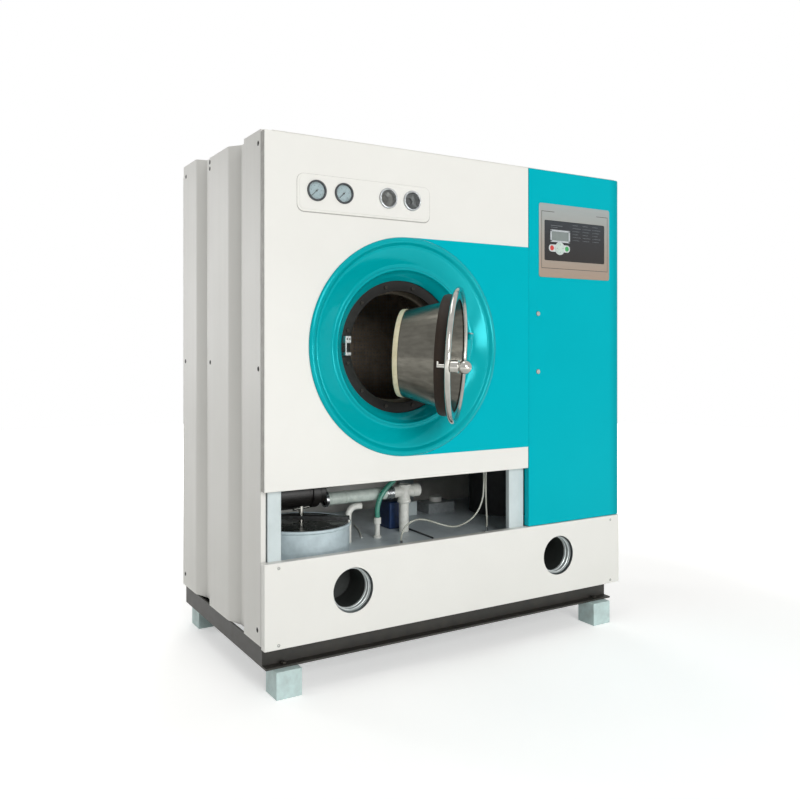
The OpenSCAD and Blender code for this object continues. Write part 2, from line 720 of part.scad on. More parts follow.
// Flat cover whose edges follow the inside of the side sheets
module top_cover() color(side_paint) translate([0, 0, cabinet_top]) {
    edge = [for (i = [13:22]) side_plan[i] + [0.4, 0]];
    inset = rib_depth + sheet_t + 0.4;
    linear_extrude(sheet_t) {
        polygon(concat(edge, [for (i = [9:-1:0]) [cabinet_w - edge[i].x, edge[i].y]]));
        translate([inset, 0]) square([cabinet_w - 2 * inset, cabinet_d]);
    }
}

module tank_necks() color(steel) for (x = [neck_x0, neck_x1]) translate([x, 0, neck_z])
    ring_y(neck_r_out, neck_r_out - neck_wall, sheet_t + 7, tank_front);

// ---------------------------------------------------------------- cabinet door

module cabinet_door() color(teal_paint) {
    difference() {
        tray([door_x0, cabinet_w], [door_z0, cabinet_top], door_return, hinge_in * 2, door_return, door_return);
        slab([cab_hinge_x, cabinet_w + cut], [hinge_in * 2, door_return + cut], [0, cabinet_top + cut]);
        slab([window_x0 + 2, window_x1 - 2], [-cut, sheet_t + cut], [window_z0 + 2, window_z1 - 2]);
        for (z = [hinge_low, hinge_high])
            slab([cab_hinge_x, cabinet_w + cut], [sheet_t, door_return + cut], [z - 32, z + 32]);
        for (z = [lock_low, lock_high])
            translate([lock_x, 0, z]) rod_y(lock_r + run_clear, -cut, sheet_t + cut);
    }
    for (z = [hinge_low, hinge_high]) translate([cab_hinge_x, hinge_in, z - knuckle_half]) difference() {
        union() {
            cylinder(r = knuckle_r, h = 2 * knuckle_half);
            slab([-knuckle_r, knuckle_r], [sheet_t - hinge_in, 0], [0, 2 * knuckle_half]);
        }
        translate([0, 0, -cut]) cylinder(r = cab_pin_r + run_clear, h = 2 * (knuckle_half + cut));
    }
}

// Fixed half of each cabinet hinge: pin, two ears and a leaf on the right post
module cabinet_hinges() color(steel) for (z = [hinge_low, hinge_high]) translate([0, 0, z]) {
    ear = 4;
    reach = knuckle_half + 0.5 + ear;
    translate([cab_hinge_x, hinge_in, -reach]) cylinder(r = cab_pin_r, h = 2 * reach);
    for (z0 = [-reach, reach - ear]) {
        translate([cab_hinge_x, hinge_in, z0]) cylinder(r = knuckle_r, h = ear);
        slab([cab_hinge_x - 14, cab_hinge_x], [hinge_in - 5, hinge_in * 2], [z0, z0 + ear]);
        slab([cab_hinge_x - 14, cabinet_w - side_flange - 0.6], [hinge_in, right_post_y], [z0, z0 + ear]);
        slab([right_post_x - 30, cab_hinge_x - 13], [right_post_y - 5, right_post_y], [z0, z0 + ear]);
    }
    slab([right_post_x - 30, right_post_x - 2], [right_post_y - 5, right_post_y], [-reach, reach]);
}

// Quarter-turn lock: head, barrel and a cam, which hangs upright when unlocked
module cam_lock(z) color(chrome) translate([lock_x, 0, z]) {
    cam_y = post_front + mid_post_d + 1;
    rod_y(lock_head_r, -2.3, -0.3);
    rod_y(lock_r, -cut, cam_y + 3);
    slab([-6, 6], [cam_y, cam_y + 3], [-10, cam_l]);
}

module lock_upper() cam_lock(lock_high);

module lock_lower() cam_lock(lock_low);

// ---------------------------------------------------------------- gauges

module gauge_places() {
    for (i = [0, 1]) translate([gauge_x + i * gauge_pitch, 0, gauge_z]) children();
    sight_places() children();
}

module sight_places() for (i = [0, 1]) translate([sight_x + i * sight_pitch, 0, gauge_z]) children();

module gauge_plate() color(white_paint) difference() {
    round_plate([gauge_plate_x0, gauge_plate_x1], [gauge_plate_z0, gauge_plate_z1], [-gauge_plate_t, 0], 22);
    gauge_places() rod_y(gauge_body_r + 0.3, -gauge_plate_t - cut, cut);
}

dial_r = gauge_body_r - 2.2;

// Cup with a stepped bezel in front and a scale disc inside
module gauge_cases() for (i = [0, 1]) translate([gauge_x + i * gauge_pitch, 0, gauge_z]) {
    color("#8b9093") lathe_y([[gauge_body_r - 2, -gauge_plate_t - 6], [bezel_r - 1.5, -gauge_plate_t - 6],
        [bezel_r, -gauge_plate_t - 4], [bezel_r, -gauge_plate_t], [gauge_body_r, -gauge_plate_t],
        [gauge_body_r, 34], [0, 34], [0, 31], [gauge_body_r - 2, 31]]);
    color("#c8d6e0") difference() {
        rod_y(dial_r, -1, 31);
        rod_y(pivot_r + run_clear, -2, 8);
    }
}

module needle(x) color("#30302e") translate([x, 0, gauge_z]) rotate([0, needle_angle, 0]) {
    rod_y(pivot_r, -1.6, 6);
    rod_y(3, -2.6, -1.4);
    slab([-0.9, 0.9], [-2.6, -1.4], [-7, dial_r - 5]);
}

module needle_left() needle(gauge_x);

module needle_right() needle(gauge_x + gauge_pitch);

// Gauge glasses and the thicker sight glasses
module lenses() color([0.8, 0.88, 0.9, 0.4]) {
    for (i = [0, 1]) translate([gauge_x + i * gauge_pitch, 0, gauge_z])
        rod_y(dial_r, -gauge_plate_t - 4.5, -gauge_plate_t - 3);
    sight_places() rod_y(bezel_r - 11, -gauge_plate_t - 4, 2);
}

module sight_bezels() color(chrome) sight_places() lathe_y([[bezel_r - 10.8, -gauge_plate_t - 6],
    [bezel_r - 8, -gauge_plate_t - 8], [bezel_r - 2, -gauge_plate_t - 8], [bezel_r, -gauge_plate_t - 5],
    [bezel_r, -gauge_plate_t], [gauge_body_r, -gauge_plate_t], [gauge_body_r, 26], [bezel_r - 10.8, 26]]);

// ---------------------------------------------------------------- controls

module control_plate() color("#c9bfb4") difference() {
    round_plate([control_x0, control_x1], [control_z0, control_z1], [-control_t, 0], 9);
    slab([window_x0, window_x1], [-control_t - cut, cut], [window_z0, window_z1]);
}

module key_axes(x) translate([window_x0 + x, 0, key_z]) children();

module control_glass() color("#0e0f10") difference() {
    slab([window_x0 + 0.2, window_x1 - 0.2], [-glass_front, 0], [window_z0 + 0.2, window_z1 - 0.2]);
    for (x = [stop_key_x, start_key_x]) key_axes(x) rod_y(key_r + key_clear, -glass_front - cut, cut);
    key_axes(pad_x) rod_y(pad_r + key_clear, -glass_front - cut, cut);
}

// Light frame with the display behind it
module screen() {
    x = [window_x0 + screen_left, window_x0 + screen_left + screen_w];
    z = [window_z1 - screen_drop - screen_h, window_z1 - screen_drop];
    color("#c9cdce") difference() {
        slab(x, [-glass_front - 1.2, -glass_front], z);
        slab([x[0] + screen_rim, x[1] - screen_rim], [-control_t * 2, 0], [z[0] + screen_rim - 3, z[1] - screen_rim + 3]);
    }
    color("#3d4c50") slab([x[0] + screen_rim + 0.1, x[1] - screen_rim - 0.1],
        [-glass_front - 0.6, -glass_front], [z[0] + screen_rim - 2.9, z[1] - screen_rim + 2.9]);
}

// A round key with a collar behind the glass that stops it coming out
module key(x, r) key_axes(x) {
    rod_y(r, -glass_front - 2, 1.5);
    rod_y(r + 1.4, 0.3, 1.5);
}

module start_key() color("#2f9e44") key(start_key_x, key_r);

module stop_key() color("#c92a2a") key(stop_key_x, key_r);

module direction_pad() color("#cfd3d4") key(pad_x, pad_r);

// ---------------------------------------------------------------- loading door

// Rolled edge and flat web of the rim, with the latch spindle's bore
module door_rim() color(chrome) swung() at_ring() difference() {
    union() {
        lathe_y([[rim_in, web_y0], [rim_r - bead_r, web_y0], [rim_r - bead_r, web_y1], [rim_in, web_y1]]);
        rotate([-90, 0, 0]) rotate_extrude() translate([rim_r - bead_r, rim_y]) circle(bead_r, $fn = 32);
    }
    translate([-latch_out, 0, -latch_drop]) rod_y(spindle_r + run_clear, -cut, rim_back + cut);
}

// Spun dish, open to the front, with a lip round the window
dish_section = [[dish_r + dish_t, web_y0], [dish_r + dish_t, web_y1], [window_r + dish_t, dish_back],
    [window_r - gasket_w, dish_back], [window_r - gasket_w, dish_back - dish_t],
    [window_r, dish_back - dish_t], [dish_r, web_y1 - 1], [dish_r - 1, web_y0]];

module door_cone() color("#a9aaa4") swung() at_ring() lathe_y(dish_section);

// The seal hugs the dish behind the web and meets the mouth plate when shut
module door_seal() color("#211f1d") swung() at_ring() {
    y1 = collar_back - seal_clear;
    in_r = dish_r + dish_t + 0.4;
    lathe_y([[in_r, web_y1], [seal_r, web_y1], [seal_r, y1 - 9], [seal_r - 3, y1], [seal_r - 6, y1],
        [in_r + 1, y1 - 12]]);
}

module window_gasket() color("#d9cfae") swung() at_ring() {
    lathe_y([[window_r - gasket_w, dish_back], [window_r + dish_t + 1, dish_back],
        [window_r + dish_t + 1, dish_back + 6], [window_r - gasket_w + 3, dish_back + 6],
        [window_r - gasket_w + 3, dish_back + 1.4], [window_r - gasket_w, dish_back + 1.4]]);
}

module window_glass() color([0.7, 0.8, 0.8, 0.4]) swung() at_ring()
    rod_y(window_r - gasket_w + 2.8, dish_back + 1.5, dish_back + 1.5 + glass_t);

// Strap behind the rim that ends in the hinge barrel
module door_arm() color(steel) swung() difference() {
    union() {
        at_ring() translate([0, 0, -barrel_half + 4]) linear_extrude(2 * barrel_half - 8)
            polygon([[seal_r + 3, rim_back + 0.1], [rim_r + 2, rim_back + 0.1], [hinge_out - 9, hinge_y - 5],
                [hinge_out, hinge_y - 9], [hinge_out, hinge_y + 9], [rim_r + 9, rim_back + 8],
                [seal_r + 3, rim_back + 8]]);
        along_hinge() translate([0, 0, -barrel_half]) cylinder(r = 11, h = 2 * barrel_half);
    }
    along_hinge() translate([0, 0, -barrel_half - cut]) cylinder(r = hinge_pin_r + run_clear,
        h = 2 * (barrel_half + cut));
}

// Two lugs welded to the slope of the ring
module hinge_bracket() color(steel) difference() {
    half = barrel_half + 0.5 + ear_t;
    for (z0 = [-half, half - ear_t]) along_hinge() {
        translate([0, 0, z0]) cylinder(r = 11, h = ear_t);
        slab([-11, 11], [0, 36], [z0, z0 + ear_t]);
    }
    along_hinge() translate([0, 0, -half - cut]) cylinder(r = hinge_pin_r + run_clear, h = 2 * (half + cut));
    at_ring() rotate([-90, 0, 0]) rotate_extrude($fn = 128) ring_section(60);
}

module hinge_pin() color(chrome) along_hinge() {
    half = barrel_half + 0.5 + ear_t;
    translate([0, 0, -half]) cylinder(r = hinge_pin_r, h = 2 * half + 1);
    translate([0, 0, half + 0.3]) cylinder(r = hinge_pin_r + 3, h = 4);
}

// Ball knob, spindle and the tongue that turns behind the keeper
module door_latch() color(chrome) swung() at_ring() translate([-latch_out, 0, -latch_drop]) {
    tongue_y = collar_back - 18;
    rod_y(neck_r, web_y0 - neck_l, rim_y - bead_r - 0.3);
    translate([0, ball_y, 0]) sphere(ball_r);
    rod_y(spindle_r, web_y0 - neck_l, tongue_y + tongue_t);
    slab([-5, 5], [tongue_y, tongue_y + tongue_t], [-5, tongue_l]);
}

// Block on the mouth plate: a slot lets the upright tongue in, and a pocket
// behind the lip lets it turn outwards
module latch_keeper() color("#c4c6c8") at_ring() difference() {
    y0 = collar_back - 26;
    lip_y = collar_back - 20;
    x0 = -latch_out - tongue_l - 0.5;
    z = [-latch_drop - 11, -latch_drop + tongue_l + 3];
    slab([x0, x0 + keeper_w], [y0, collar_back], [-keeper_down, keeper_up]);
    slab([-latch_out - 9, -latch_out + 9], [y0 - cut, collar_back + cut], z);
    slab([x0 - cut, -latch_out], [lip_y, collar_back + cut], z);
}

// ---------------------------------------------------------------- drum and tub

module mouth_bolt_axes() at_ring() for (i = [0:mouth_bolts - 1])
    rotate([0, (i + 0.5) * 360 / mouth_bolts, 0]) translate([mouth_bolt_circle, 0, 0]) children();

module mouth_plate() color("#161412") difference() {
    at_ring() ring_y(mouth_plate_r, mouth_r, collar_back, tub_front);
    mouth_bolt_axes() rod_y(3.3, collar_back - cut, tub_front + cut);
}

module plate_bolts() color("#3a3733") mouth_bolt_axes() {
    rod_y(5.5, collar_back - 4, collar_back);
    rod_y(3, collar_back - cut, tub_front + tub_t + 6);
}

// Tub shell with its back wall, and two saddles that stand on the rails
module tub() color("#8e9193") difference() {
    y0 = tub_front + tub_t + weld_gap;
    union() {
        at_ring() rod_y(tub_r, y0, tub_back);
        for (x = tub_rail_x) slab([x - 10, x + 10], [tub_front + 40, tub_back - 40], [rail_seat, ring_z - tub_r * 0.6]);
        translate([drain_x, drain_y, drain_z]) cylinder(r = 14, h = ring_z - tub_r * 0.85 - drain_z);
    }
    at_ring() {
        rod_y(tub_r - tub_t, tub_front, tub_back - tub_t);
        rod_y(bearing_r + 7, tub_back - tub_t - cut, tub_back + cut);
    }
}

// Front wall of the tub, round the mouth
module tub_front() color("#8e9193") difference() {
    at_ring() ring_y(tub_r, mouth_r + 8, tub_front, tub_front + tub_t);
    mouth_bolt_axes() rod_y(3.3, tub_front - cut, tub_front + tub_t + cut);
}

module bearing_housing() color("#6f7376") at_ring() difference() {
    union() {
        rod_y(bearing_r + 6.5, tub_back - 9, tub_back);
        rod_y(bearing_r * 2, tub_back, tub_back + 12);
        rod_y(bearing_r, tub_back, bearing_back);
    }
    rod_y(shaft_r + run_clear, tub_back - 9 - cut, bearing_back + cut);
}

// Wall of the basket
module drum() color("#6e6862") at_ring()
    ring_y(drum_r, drum_r - drum_t, drum_front + drum_t + weld_gap, drum_back - drum_t - weld_gap);

// Hollow ribs that lift the load, drawn closed
module drum_lifters() color("#6e6862") at_ring() {
    in_r = drum_r - drum_t;
    for (i = [0:lifters - 1]) rotate([0, 30 + i * 360 / lifters, 0]) intersection() {
        translate([0, drum_front + 20, 0]) rotate([-90, 0, 0]) linear_extrude(drum_l - 40)
            polygon([[in_r + 1, -44], [in_r - 10, -44], [in_r - lifter_h, -14], [in_r - lifter_h, 14],
                [in_r - 10, 44], [in_r + 1, 44]]);
        rod_y(in_r - weld_gap, drum_front, drum_back);
    }
}

// Front wall of the basket with its rolled mouth
module drum_front() color("#6e6862") at_ring() lathe_y([[drum_mouth_r, drum_front + 12],
    [drum_mouth_r, drum_front], [drum_r, drum_front], [drum_r, drum_front + drum_t],
    [drum_mouth_r + drum_t, drum_front + drum_t], [drum_mouth_r + drum_t, drum_front + 12]]);

// Back wall of the basket, welded to the flange of its shaft
module drum_back() color("#6e6862") at_ring() {
    rod_y(drum_r, drum_back - drum_t, drum_back);
    rod_y(62, drum_back, drum_back + shaft_flange_t);
    rod_y(shaft_r, drum_back, pulley_y + pulley_w + 10);
}

// Spoked by a thin web between hub and rim
module drum_pulley() color("#4c4f51") at_ring() {
    y0 = pulley_y;
    y1 = pulley_y + pulley_w;
    ring_y(drum_pulley_r, drum_pulley_r - 16, y0, y1);
    ring_y(drum_pulley_r - 15, shaft_r + 20, y0 + 11, y0 + 19);
    ring_y(shaft_r + 21, shaft_r + run_clear, y0, y1);
}

motor_at = [motor_x, 0, motor_z];

// Belt round both pulleys, drawn as the difference of two belt loops
module drive_belt() color("#1c1b1a") {
    y0 = pulley_y + 3;
    translate([0, y0 + belt_w, 0]) rotate([90, 0, 0]) linear_extrude(belt_w) difference() {
        belt_loop(belt_t + 0.3);
        belt_loop(0.3);
    }
}

module belt_loop(grow) hull() {
    translate([ring_x, ring_z]) circle(drum_pulley_r + grow);
    translate([motor_x, motor_z]) circle(motor_pulley_r + grow);
}

module drum_motor() color("#3f5a66") difference() {
    union() {
        translate(motor_at) rod_y(motor_r, motor_y0, motor_y1);
        slab([motor_x - 60, motor_x + 60], [motor_y0 + 20, motor_y1 - 20], [rail_seat + 6, motor_z - 20]);
        slab([post_x + 10, tub_rail_x[0] - 12], [motor_y0 + 20, motor_y1 - 20], [rail_seat, rail_seat + 6]);
    }
    translate(motor_at) rod_y(motor_shaft_r + run_clear, motor_y1 - 80, motor_y1 + cut);
}

module motor_pulley() color("#5a5d60") translate(motor_at) {
    rod_y(motor_shaft_r, motor_y1 - 78, pulley_y + 2);
    rod_y(motor_pulley_r, pulley_y, pulley_y + pulley_w);
}

// ---------------------------------------------------------------- air circuit

// Round fan case with a neck to the duct and its own motor behind
module fan_housing() color("#8e9193") {
    difference() {
        union() {
            translate([fan_x, 0, fan_z]) rod_y(fan_case_r, fan_y0, fan_y1);
            slab([duct_x1, fan_x], [fan_y0, fan_y1], [fan_z + 30, fan_z + fan_case_r]);
        }
        translate([fan_x, 0, fan_z]) {
            rod_y(fan_case_r - 2, fan_y0 + 2, fan_y1 - 2);
            rod_y(fan_r * 0.7, fan_y0 - cut, fan_y0 + 2 + cut);
            rod_y(fan_shaft_r + run_clear, fan_y1 - 2 - cut, fan_y1 + 61);
        }
        slab([duct_x1 - cut, fan_x], [fan_y0 + 2, fan_y1 - 2], [fan_z + 32, fan_z + fan_case_r - 2]);
    }
    translate([fan_x, 0, fan_z]) difference() {
        rod_y(58, fan_y1 + 0.2, fan_y1 + 100);
        rod_y(fan_shaft_r + run_clear, fan_y1 - cut, fan_y1 + 60);
    }
    slab([fan_x - 40, fan_x + 40], [fan_y0 + 30, fan_y1 - 10], [fan_z + fan_case_r - 4, rail_top0 - 34]);
}

module fan_wheel() color("#9a9da0") translate([fan_x, 0, fan_z]) {
    y0 = fan_y0 + 12;
    y1 = fan_y1 - 12;
    rod_y(fan_r, y1 - 3, y1);
    rod_y(24, y0 + 10, y1);
    rod_y(fan_shaft_r, y0 + 20, fan_y1 + 55);
    for (i = [0:fan_blades - 1]) rotate([0, i * 360 / fan_blades, 0])
        slab([fan_r * 0.55, fan_r - 2], [y0, y1], [-1.2, 1.2]);
}

// Case of the heater and condenser behind the tub, with the exhaust spigot
module air_duct() color("#9aa0a2") {
    difference() {
        slab([duct_x0, duct_x1], [duct_y0, duct_y1], [duct_z0, duct_z1]);
        slab([duct_x0 + 2, duct_x1 - 2], [duct_y0 + 2, duct_y1 - 2], [duct_z0 + 2, duct_z1 - 2]);
        translate([spigot_x, 0, spigot_z]) rod_y(spigot_r - 3, duct_y1 - 3, back_reach);
        slab([duct_x1 - 3, duct_x1 + cut], [fan_y0 + 2, fan_y1 - 2], [fan_z + 32, fan_z + fan_case_r - 2]);
    }
    translate([spigot_x, 0, spigot_z]) {
        ring_y(spigot_r, spigot_r - 3, duct_y1 - 1, back_reach);
        ring_y(spigot_r + 8, spigot_r - 3, cabinet_d + sheet_t + weld_gap, cabinet_d + sheet_t + 5);
    }
}

// ---------------------------------------------------------------- tank, filter, still

module solvent_tank() color("#93a1a8") difference() {
    union() {
        slab([tank_x0, tank_x1], [tank_front, tank_y1], [frame_top, tank_top]);
        slab([tank_x0, tank_x1], [deck_y0, tank_front], [tank_top - tank_t, tank_top]);
        slab([tank_x0, tank_x1], [deck_y0, deck_y0 + tank_t], [tank_top - 16, tank_top]);
    }
    slab([tank_x0 + tank_t, tank_x1 - tank_t], [tank_front + tank_t, tank_y1 - tank_t],
        [frame_top + tank_t, tank_top - tank_t]);
    translate([can_x, can_y + 40, tank_top - tank_t - cut]) cylinder(r = 60, h = tank_t + 2 * cut);
}

// Shell, dark lid and the clamp bar with its two lugs
module filter_can() translate([can_x, can_y, 0]) {
    color("#b9cdd6") difference() {
        union() {
            translate([0, 0, tank_top]) cylinder(r = can_r, h = can_h);
            translate([0, 0, can_top - 8]) cylinder(r = can_r + 5, h = 8);
        }
        translate([0, 0, tank_top - cut]) cylinder(r = can_r - 3, h = can_h + 2 * cut);
    }
    color("#1e1f1e") translate([0, 0, can_top - lid_t]) cylinder(r = can_r - 3.1, h = lid_t - 2);
    color("#55595a") rotate([0, 0, clamp_turn]) difference() {
        union() {
            slab([-can_r, can_r], [-14, 14], [bar_z, bar_z + bar_t]);
            for (s = [-1, 1]) translate([s * (can_r - 1), 0, can_top]) cylinder(r = 6, h = 9);
        }
        translate([0, 0, bar_z - cut]) cylinder(r = 8 + run_clear, h = bar_t + 2 * cut);
    }
}

module clamp_screw() color(chrome) translate([can_x, can_y, 0]) {
    translate([0, 0, can_top - 1.7]) cylinder(r = 8, h = 52);
    translate([0, 0, can_top + 44]) rotate([0, 0, 20]) rod_x(5, -34, 34);
}

// Boiling vessel with a domed lid, a cleaning door and a vapour neck
module still() color("#a4a9ab") translate([still_x, still_y, tank_top]) {
    difference() {
        union() {
            cylinder(r = still_r, h = still_h);
            translate([0, 0, still_h - 20]) cylinder(r = still_r + 12, h = 12);
            translate([0, 0, still_h]) cylinder(r1 = still_r, r2 = 50, h = 60);
            translate([0, 0, still_h + 60]) cylinder(r = 30, h = 60);
            translate([0, 0, 120]) rod_y(70, -still_r - 20, 0);
        }
        translate([0, 0, 3]) cylinder(r = still_r - 3, h = still_h - 3);
        translate([0, 0, still_h - cut]) cylinder(r1 = still_r - 3, r2 = 27, h = 61);
        translate([0, 0, still_h + 59]) cylinder(r = 27, h = 58);
    }
    translate([0, -still_r - 32, 120]) rod_y(76, 0, 12);
}

// ---------------------------------------------------------------- service bay

pump_z = rail_low - pump_drop;
pump_x1 = ring_x - pump_left;
head_l = 24;                           // pump head at the motor's right end
union_l = 11.8;
pipe_z = tank_top + pipe_rise;
pipe_x0 = pump_x1 + head_l + 0.2 + union_l;

// Motor hung under the tub rail, pump head at its right end
module pump() color("#181716") {
    translate([0, pump_y, pump_z]) {
        rod_x(pump_r, pump_x1 - pump_l, pump_x1);
        rod_x(pump_r - 12, pump_x1, pump_x1 + head_l);
    }
    slab([pump_x1 - 30, pump_x1], [pump_y - 30, pump_y + 30], [pump_z + pump_r - 16, rail_low]);
}

hose_foot = [524, 250];
fitting_left = [526, 92];
fitting_right = [905, 118];

// Delivery pipe with union and coupling, drain tee, stand pipe with elbow,
// hose barb, tube fittings, float box, the blue valve body and the block on the
// front rail that the two thin tubes end in
module bay_pipework() {
    color("#9fb0a8") translate([0, pipe_y, pipe_z]) {
        rod_x(pipe_r, pipe_x0, coupling_x);
        rod_x(pipe_r + 5, pipe_x0 - union_l, pipe_x0);
        rod_x(pipe_r + 3, coupling_x, coupling_x + coupling_l);
    }
    color("#e4e5e0") {
        translate([tee_x, pipe_y, pipe_z - 40]) cylinder(r = 25, h = 66);
        translate([0, pipe_y, pipe_z]) {
            rod_x(20, coupling_x + coupling_l - cut, tee_x + 30);
            rod_x(23, tee_x + 30, tee_x + 62);
        }
        translate([tee_x, pipe_y, tank_top]) cylinder(r = 18, h = pipe_z - 40 - tank_top);
        translate([402, 238, tank_top]) cylinder(r = 11, h = 92);
        translate([402 + 30, 238, tank_top + 92]) rotate([90, 0, 0]) rotate([0, 0, 90])
            rotate_extrude(angle = 90) translate([30, 0]) circle(11);
        translate([0, 238, tank_top + 122]) rod_x(11, 432, 452);
        translate([hose_foot.x, hose_foot.y, tank_top]) {
            cylinder(r = 14, h = 8);
            cylinder(r = 9, h = 50);
            translate([0, 0, 50]) cylinder(r = 13, h = 22);
        }
    }
    color("#cfd2d3") for (p = [fitting_left, fitting_right]) translate([p.x, p.y, tank_top]) {
        cylinder(r = 12, h = 4, $fn = 6);
        cylinder(r = 5, h = 22);
    }
    color("#6a7074") {
        slab([905, 1030], [500, 590], [tank_top, tank_top + 42]);
        translate([965, 545, tank_top + 42]) cylinder(r = 26, h = 20);
    }
    color("#1d3f74") slab([628, 700], [340, 420], [tank_top, tank_top + 100]);
    color("#cfd2d3") slab([884, 918], [30, 134], [rail_seat, rail_seat + 22]);
}

// Drain hose from the barb up to the tub, and two thin tubes to the fittings
drain_route = [[524, 250, tank_top + 72.3], [524, 250, tank_top + 80], [524, 250, 470], [536, 250, 505], [562, 250, 538],
    [594, 253, 562], [620, 260, 588], [632, 266, 620], [drain_x, drain_y, drain_z - 20],
    [drain_x, drain_y, drain_z - 10], [drain_x, drain_y, drain_z - 0.3]];
left_tube_route = [[526, 92, tank_top + 22.3], [526, 92, tank_top + 30], [531, 92, 412], [548, 94, 434], [590, 98, 448], [640, 102, 440],
    [700, 106, 418], [760, 110, 404], [820, 114, 416], [862, 116, 446], [886, 118, 490], [893, 120, 540],
    [895, 122, 600], [895, 122, rail_seat - 0.3]];
right_tube_route = [[905, 118, tank_top + 22.3], [905, 118, tank_top + 30], [906, 119, 420], [903, 120, 480], [903, 121, 540], [905, 122, 600],
    [907, 122, rail_seat - 0.3]];

module bay_hoses() {
    color([0.25, 0.55, 0.45, 0.6]) tube(curve(drain_route, 3), 9, 10);
    color([0.85, 0.85, 0.8, 0.7]) {
        tube(curve(left_tube_route, 2), 3, 8);
        tube(curve(right_tube_route, 2), 3, 8);
    }
}

// ---------------------------------------------------------------- electrics

// Mounting plate behind the cabinet door with contactors and terminal rail
module electrical_tray() {
    x = [mid_post_x1 + 10, right_post_x - post_w];
    y = 300;
    z1 = cabinet_top - 116;
    color("#c7c9c6") slab(x, [y, y + 3], [960, z1]);
    color("#c7c9c6") slab([x[1] - 12, x[1] + 14], [y, y + 3], [rail_seat, rail_top0]);
    color("#4a4d4f") {
        for (i = [0:floor((x[1] - x[0] - 60) / 75) - 1])
            slab([x[0] + 30 + i * 75, x[0] + 90 + i * 75], [y - 70, y], [z1 - 180, z1 - 100]);
        slab([x[0] + 30, x[1] - 40], [y - 40, y], [z1 - 280, z1 - 230]);
        slab([x[0] + 30, x[0] + 190], [y - 110, y], [1010, 1210]);
    }
    color("#3f7a4a") slab([x[0] + 30, x[1] - 40], [y - 35, y], [z1 - 335, z1 - 300]);
}

seated() base_frame();
seated() feet();
seated() cabinet_frame();
seated() front_panel();
seated() door_surround();
seated() skirt_panel();
seated() fasteners();
seated() tank_necks();
seated() cabinet_door();
seated() cabinet_hinges();
seated() lock_upper();
seated() lock_lower();
seated() side_panels();
seated() rear_panel();
seated() top_cover();
seated() gauge_plate();
seated() gauge_cases();
seated() needle_left();
seated() needle_right();
seated() lenses();
seated() sight_bezels();
seated() control_plate();
seated() control_glass();
seated() screen();
seated() start_key();
seated() stop_key();
seated() direction_pad();
seated() door_rim();
seated() door_cone();
seated() door_seal();
seated() window_gasket();
seated() window_glass();
seated() door_arm();
seated() hinge_bracket();
seated() hinge_pin();
seated() door_latch();
seated() latch_keeper();
seated() mouth_plate();
seated() tub();
seated() tub_front();
seated() bearing_housing();
seated() drum();
seated() drum_front();
seated() drum_lifters();
seated() drum_back();
seated() drum_pulley();
seated() drive_belt();
seated() drum_motor();
seated() motor_pulley();
seated() fan_housing();
seated() fan_wheel();
seated() air_duct();
seated() solvent_tank();
seated() filter_can();
seated() clamp_screw();
seated() pump();
seated() bay_pipework();
seated() bay_hoses();
seated() still();
seated() electrical_tray();
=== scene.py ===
import bmesh, bpy
from math import atan2, cos, hypot, pi, radians, sin, tan
from mathutils import Matrix, Vector


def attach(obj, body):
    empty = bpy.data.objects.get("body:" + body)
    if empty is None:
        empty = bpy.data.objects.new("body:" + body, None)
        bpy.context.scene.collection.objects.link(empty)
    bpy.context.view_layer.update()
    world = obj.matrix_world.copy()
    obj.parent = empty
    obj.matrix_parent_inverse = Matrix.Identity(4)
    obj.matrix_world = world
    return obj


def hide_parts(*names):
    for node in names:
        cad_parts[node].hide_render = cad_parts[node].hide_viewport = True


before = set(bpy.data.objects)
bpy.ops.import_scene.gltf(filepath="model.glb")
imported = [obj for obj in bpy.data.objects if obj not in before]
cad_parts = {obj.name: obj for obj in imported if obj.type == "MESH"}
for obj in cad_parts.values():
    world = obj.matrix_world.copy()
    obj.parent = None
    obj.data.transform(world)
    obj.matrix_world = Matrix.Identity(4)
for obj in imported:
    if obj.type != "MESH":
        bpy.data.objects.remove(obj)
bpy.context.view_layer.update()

# ---- Camera ----------------------------------------------------------------
# A 37 mm lens 2.9 m in front of the machine at chest height, turned to the
# right and level, so that the cabinet's posts stay upright in the picture.
camera = bpy.data.objects.new("camera", bpy.data.cameras.new("camera"))
bpy.context.scene.collection.objects.link(camera)
camera.data.lens = 37.19
camera.data.sensor_width = 36
camera.data.shift_x = 0.0004
camera.data.shift_y = -0.0626
camera.location = (-1.6437, -2.5300, 1.0268)
camera.rotation_euler = (radians(90), 0, radians(-31.235))
bpy.context.scene.camera = camera

# ---- Hoses in the service bay -----------------------------------------------
# A green translucent PVC drain hose from the barb on the tank deck up to the
# tub, and two thin clear tubes that rise to the block on the front rail.
# They are pushed over their fittings and hang in the curve they take.
tank_top = 365
rail_seat = 640


def linear(hex_colour):
    parts = [int(hex_colour[i:i + 2], 16) / 255 for i in (1, 3, 5)]
    return [v / 12.92 if v < 0.04045 else ((v + 0.055) / 1.055) ** 2.4 for v in parts] + [1]


def add(tree, kind, settings=None, links=None):
    node = tree.nodes.new("ShaderNode" + kind)
    for key, value in (settings or {}).items():
        if isinstance(key, int) or key in node.inputs:
            node.inputs[key].default_value = value
        else:
            setattr(node, key, value)
    for socket, source in (links or {}).items():
        tree.links.new(source, node.inputs[socket])
    return node


def new_material(name, **surface):
    mat = bpy.data.materials.new(name)
    mat.use_nodes = True
    shader = mat.node_tree.nodes["Principled BSDF"]
    for key, value in surface.items():
        shader.inputs[key.replace("_", " ")].default_value = value
    spot = add(mat.node_tree, "TexCoord").outputs["Object"]
    return mat, mat.node_tree, shader, spot


